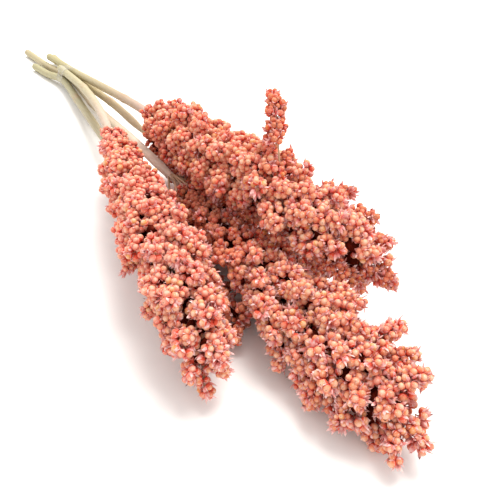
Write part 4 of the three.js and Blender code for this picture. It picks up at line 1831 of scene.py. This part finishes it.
@dataclass
class Studio:
    """The pale floor, the soft light and the camera.

    Attributes:
        camera_at: The camera's place.
        heading: The direction that it looks in, along the floor.
        pitch: How far it looks down, in degrees.
        lens: Its focal length in millimetres.
        lamp_at: The lamp's place.
        lamp_aim: The point that the lamp faces.
        lamp_size: The side of the square lamp.
        lamp_power: Its strength in watts.
        lamp_colour: Its colour.
        room_colour: Colour of the light from all round.
        room_light: Strength of the light from all round.
    """

    camera_at: Triple = (0.42347, -0.116925, 0.1998)
    heading: tuple[float, float] = (-0.847, 0.532)
    pitch: float = 36.4
    lens: float = 36.0
    lamp_at: Triple = (-0.2, 0.8, 1.8)
    lamp_aim: Triple = (0.12, 0.0, 0.03)
    lamp_size: float = 1.2
    lamp_power: float = 54.0
    lamp_colour: Colour = (1.0, 0.98, 0.95)
    room_colour: Colour = (1.0, 0.99, 0.98)
    room_light: float = 1.1

    def build(self) -> None:
        """Set up everything round the bunch."""
        self.floor()
        self.camera()
        self.lamp()
        self.room()
        bpy.context.scene.view_settings.view_transform = "Standard"

    def floor(self) -> None:
        """Lay the floor."""
        piece = Bench.start("floor", bpy.ops.mesh.primitive_plane_add, size=8.0, location=(0, 0, 0))
        bpy.ops.mesh.subdivide(number_cuts=3)
        Bench.finish(piece)
        piece.data.materials.append(FloorFinish().make())

    def camera(self) -> None:
        """Stand the camera where the picture was taken from."""
        lens = bpy.data.cameras.new("camera")
        lens.lens = self.lens
        lens.sensor_width = 36.0
        lens.clip_start = 0.01
        camera = bpy.data.objects.new("camera", lens)
        bpy.context.scene.collection.objects.link(camera)
        flat = Vector((*self.heading, 0)).normalized()
        down = math.radians(self.pitch)
        look = flat * math.cos(down) - Vector(UP) * math.sin(down)
        camera.location = self.camera_at
        camera.rotation_euler = look.to_track_quat("-Z", "Y").to_euler()
        bpy.context.scene.camera = camera

    def lamp(self) -> None:
        """Hang a large soft lamp behind the bunch, above its middle."""
        light = bpy.data.lights.new("key", "AREA")
        light.size, light.energy, light.color = self.lamp_size, self.lamp_power, self.lamp_colour
        lamp = bpy.data.objects.new("key", light)
        bpy.context.scene.collection.objects.link(lamp)
        lamp.location = self.lamp_at
        look = Vector(self.lamp_aim) - Vector(self.lamp_at)
        lamp.rotation_euler = look.to_track_quat("-Z", "Y").to_euler()

    def room(self) -> None:
        """Light the bunch softly from all round."""
        world = bpy.data.worlds.new("room")
        world.use_nodes = True
        sky = world.node_tree.nodes["Background"]
        sky.inputs["Color"].default_value = (*self.room_colour, 1.0)
        sky.inputs["Strength"].default_value = self.room_light
        bpy.context.scene.world = world


# Each stem's colours at its cut end, half-way and at its neck, the shares of its length at which it has a
# joint, and the colour of its fibres where it isn't the usual one. The lower stem's pinkish neck and its
# fibres are its own pale colour lifted further, as painted light where it lies in the upper head's shadow.
STEM_LOOKS = {
    # painted light: neck and fibre colours lifted against the shadow of the upper head
    "lower": (((0.41, 0.36, 0.20), (0.48, 0.40, 0.25), (0.74, 0.60, 0.50), (0.52, 0.38, 0.28)), 0.55),
    "upper": (((0.39, 0.35, 0.18), (0.41, 0.34, 0.20), (0.46, 0.31, 0.26)), 0.72),
    "left": (((0.41, 0.38, 0.23), (0.44, 0.39, 0.24), (0.53, 0.40, 0.33)), 0.5),
    "under_left": (((0.38, 0.35, 0.20), (0.38, 0.35, 0.21), (0.40, 0.34, 0.22)), 0.6),
    "under_right": (((0.39, 0.34, 0.17), (0.41, 0.34, 0.18), (0.42, 0.31, 0.20)), 0.75),
}


def faces_of(piece: bpy.types.Object) -> int:
    """Count a piece's triangles."""
    return sum(len(polygon.vertices) - 2 for polygon in piece.data.polygons)


def main() -> None:
    """Build the bunch piece by piece."""
    logging.basicConfig(level=logging.INFO, format="%(name)s %(message)s")
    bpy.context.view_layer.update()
    Studio().build()
    log.info("studio: floor, light and camera")
    planting = Planting()
    planting.grow()
    for name, grown in planting.branches.items():
        log.info("%s: %d branches", name, sum(not branch.stray for branch in grown))
    moulds = Moulds().all()
    finishes = {
        Look.GRAIN: GrainFinish().make(),
        Look.HUSK: HuskFinish().make(),
        Look.HEART: ShadedHeartFinish().make(),
        Look.STALK: StalkFinish().make(),
    }
    grid = Grid(GRID_CELL)
    pieces = []
    for plan in HEADS:
        head = SeedHead(plan, planting, grid, moulds)
        head.sow()
        pieces += head.build(finishes)
        log.info("%s: %d grains", plan.name, len(head.spots))
    for plan in STEMS:
        colours, joint = STEM_LOOKS[plan.name]
        pieces.append(Stem(plan, StemFinish("stem_" + plan.name, *colours), joint).build())
    pieces.append(Band().build())
    for piece in pieces:
        log.info("%s: %d triangles", piece.name, faces_of(piece))
    log.info("whole bunch: %d triangles", sum(map(faces_of, pieces)))


if __name__ == "__main__":
    main()
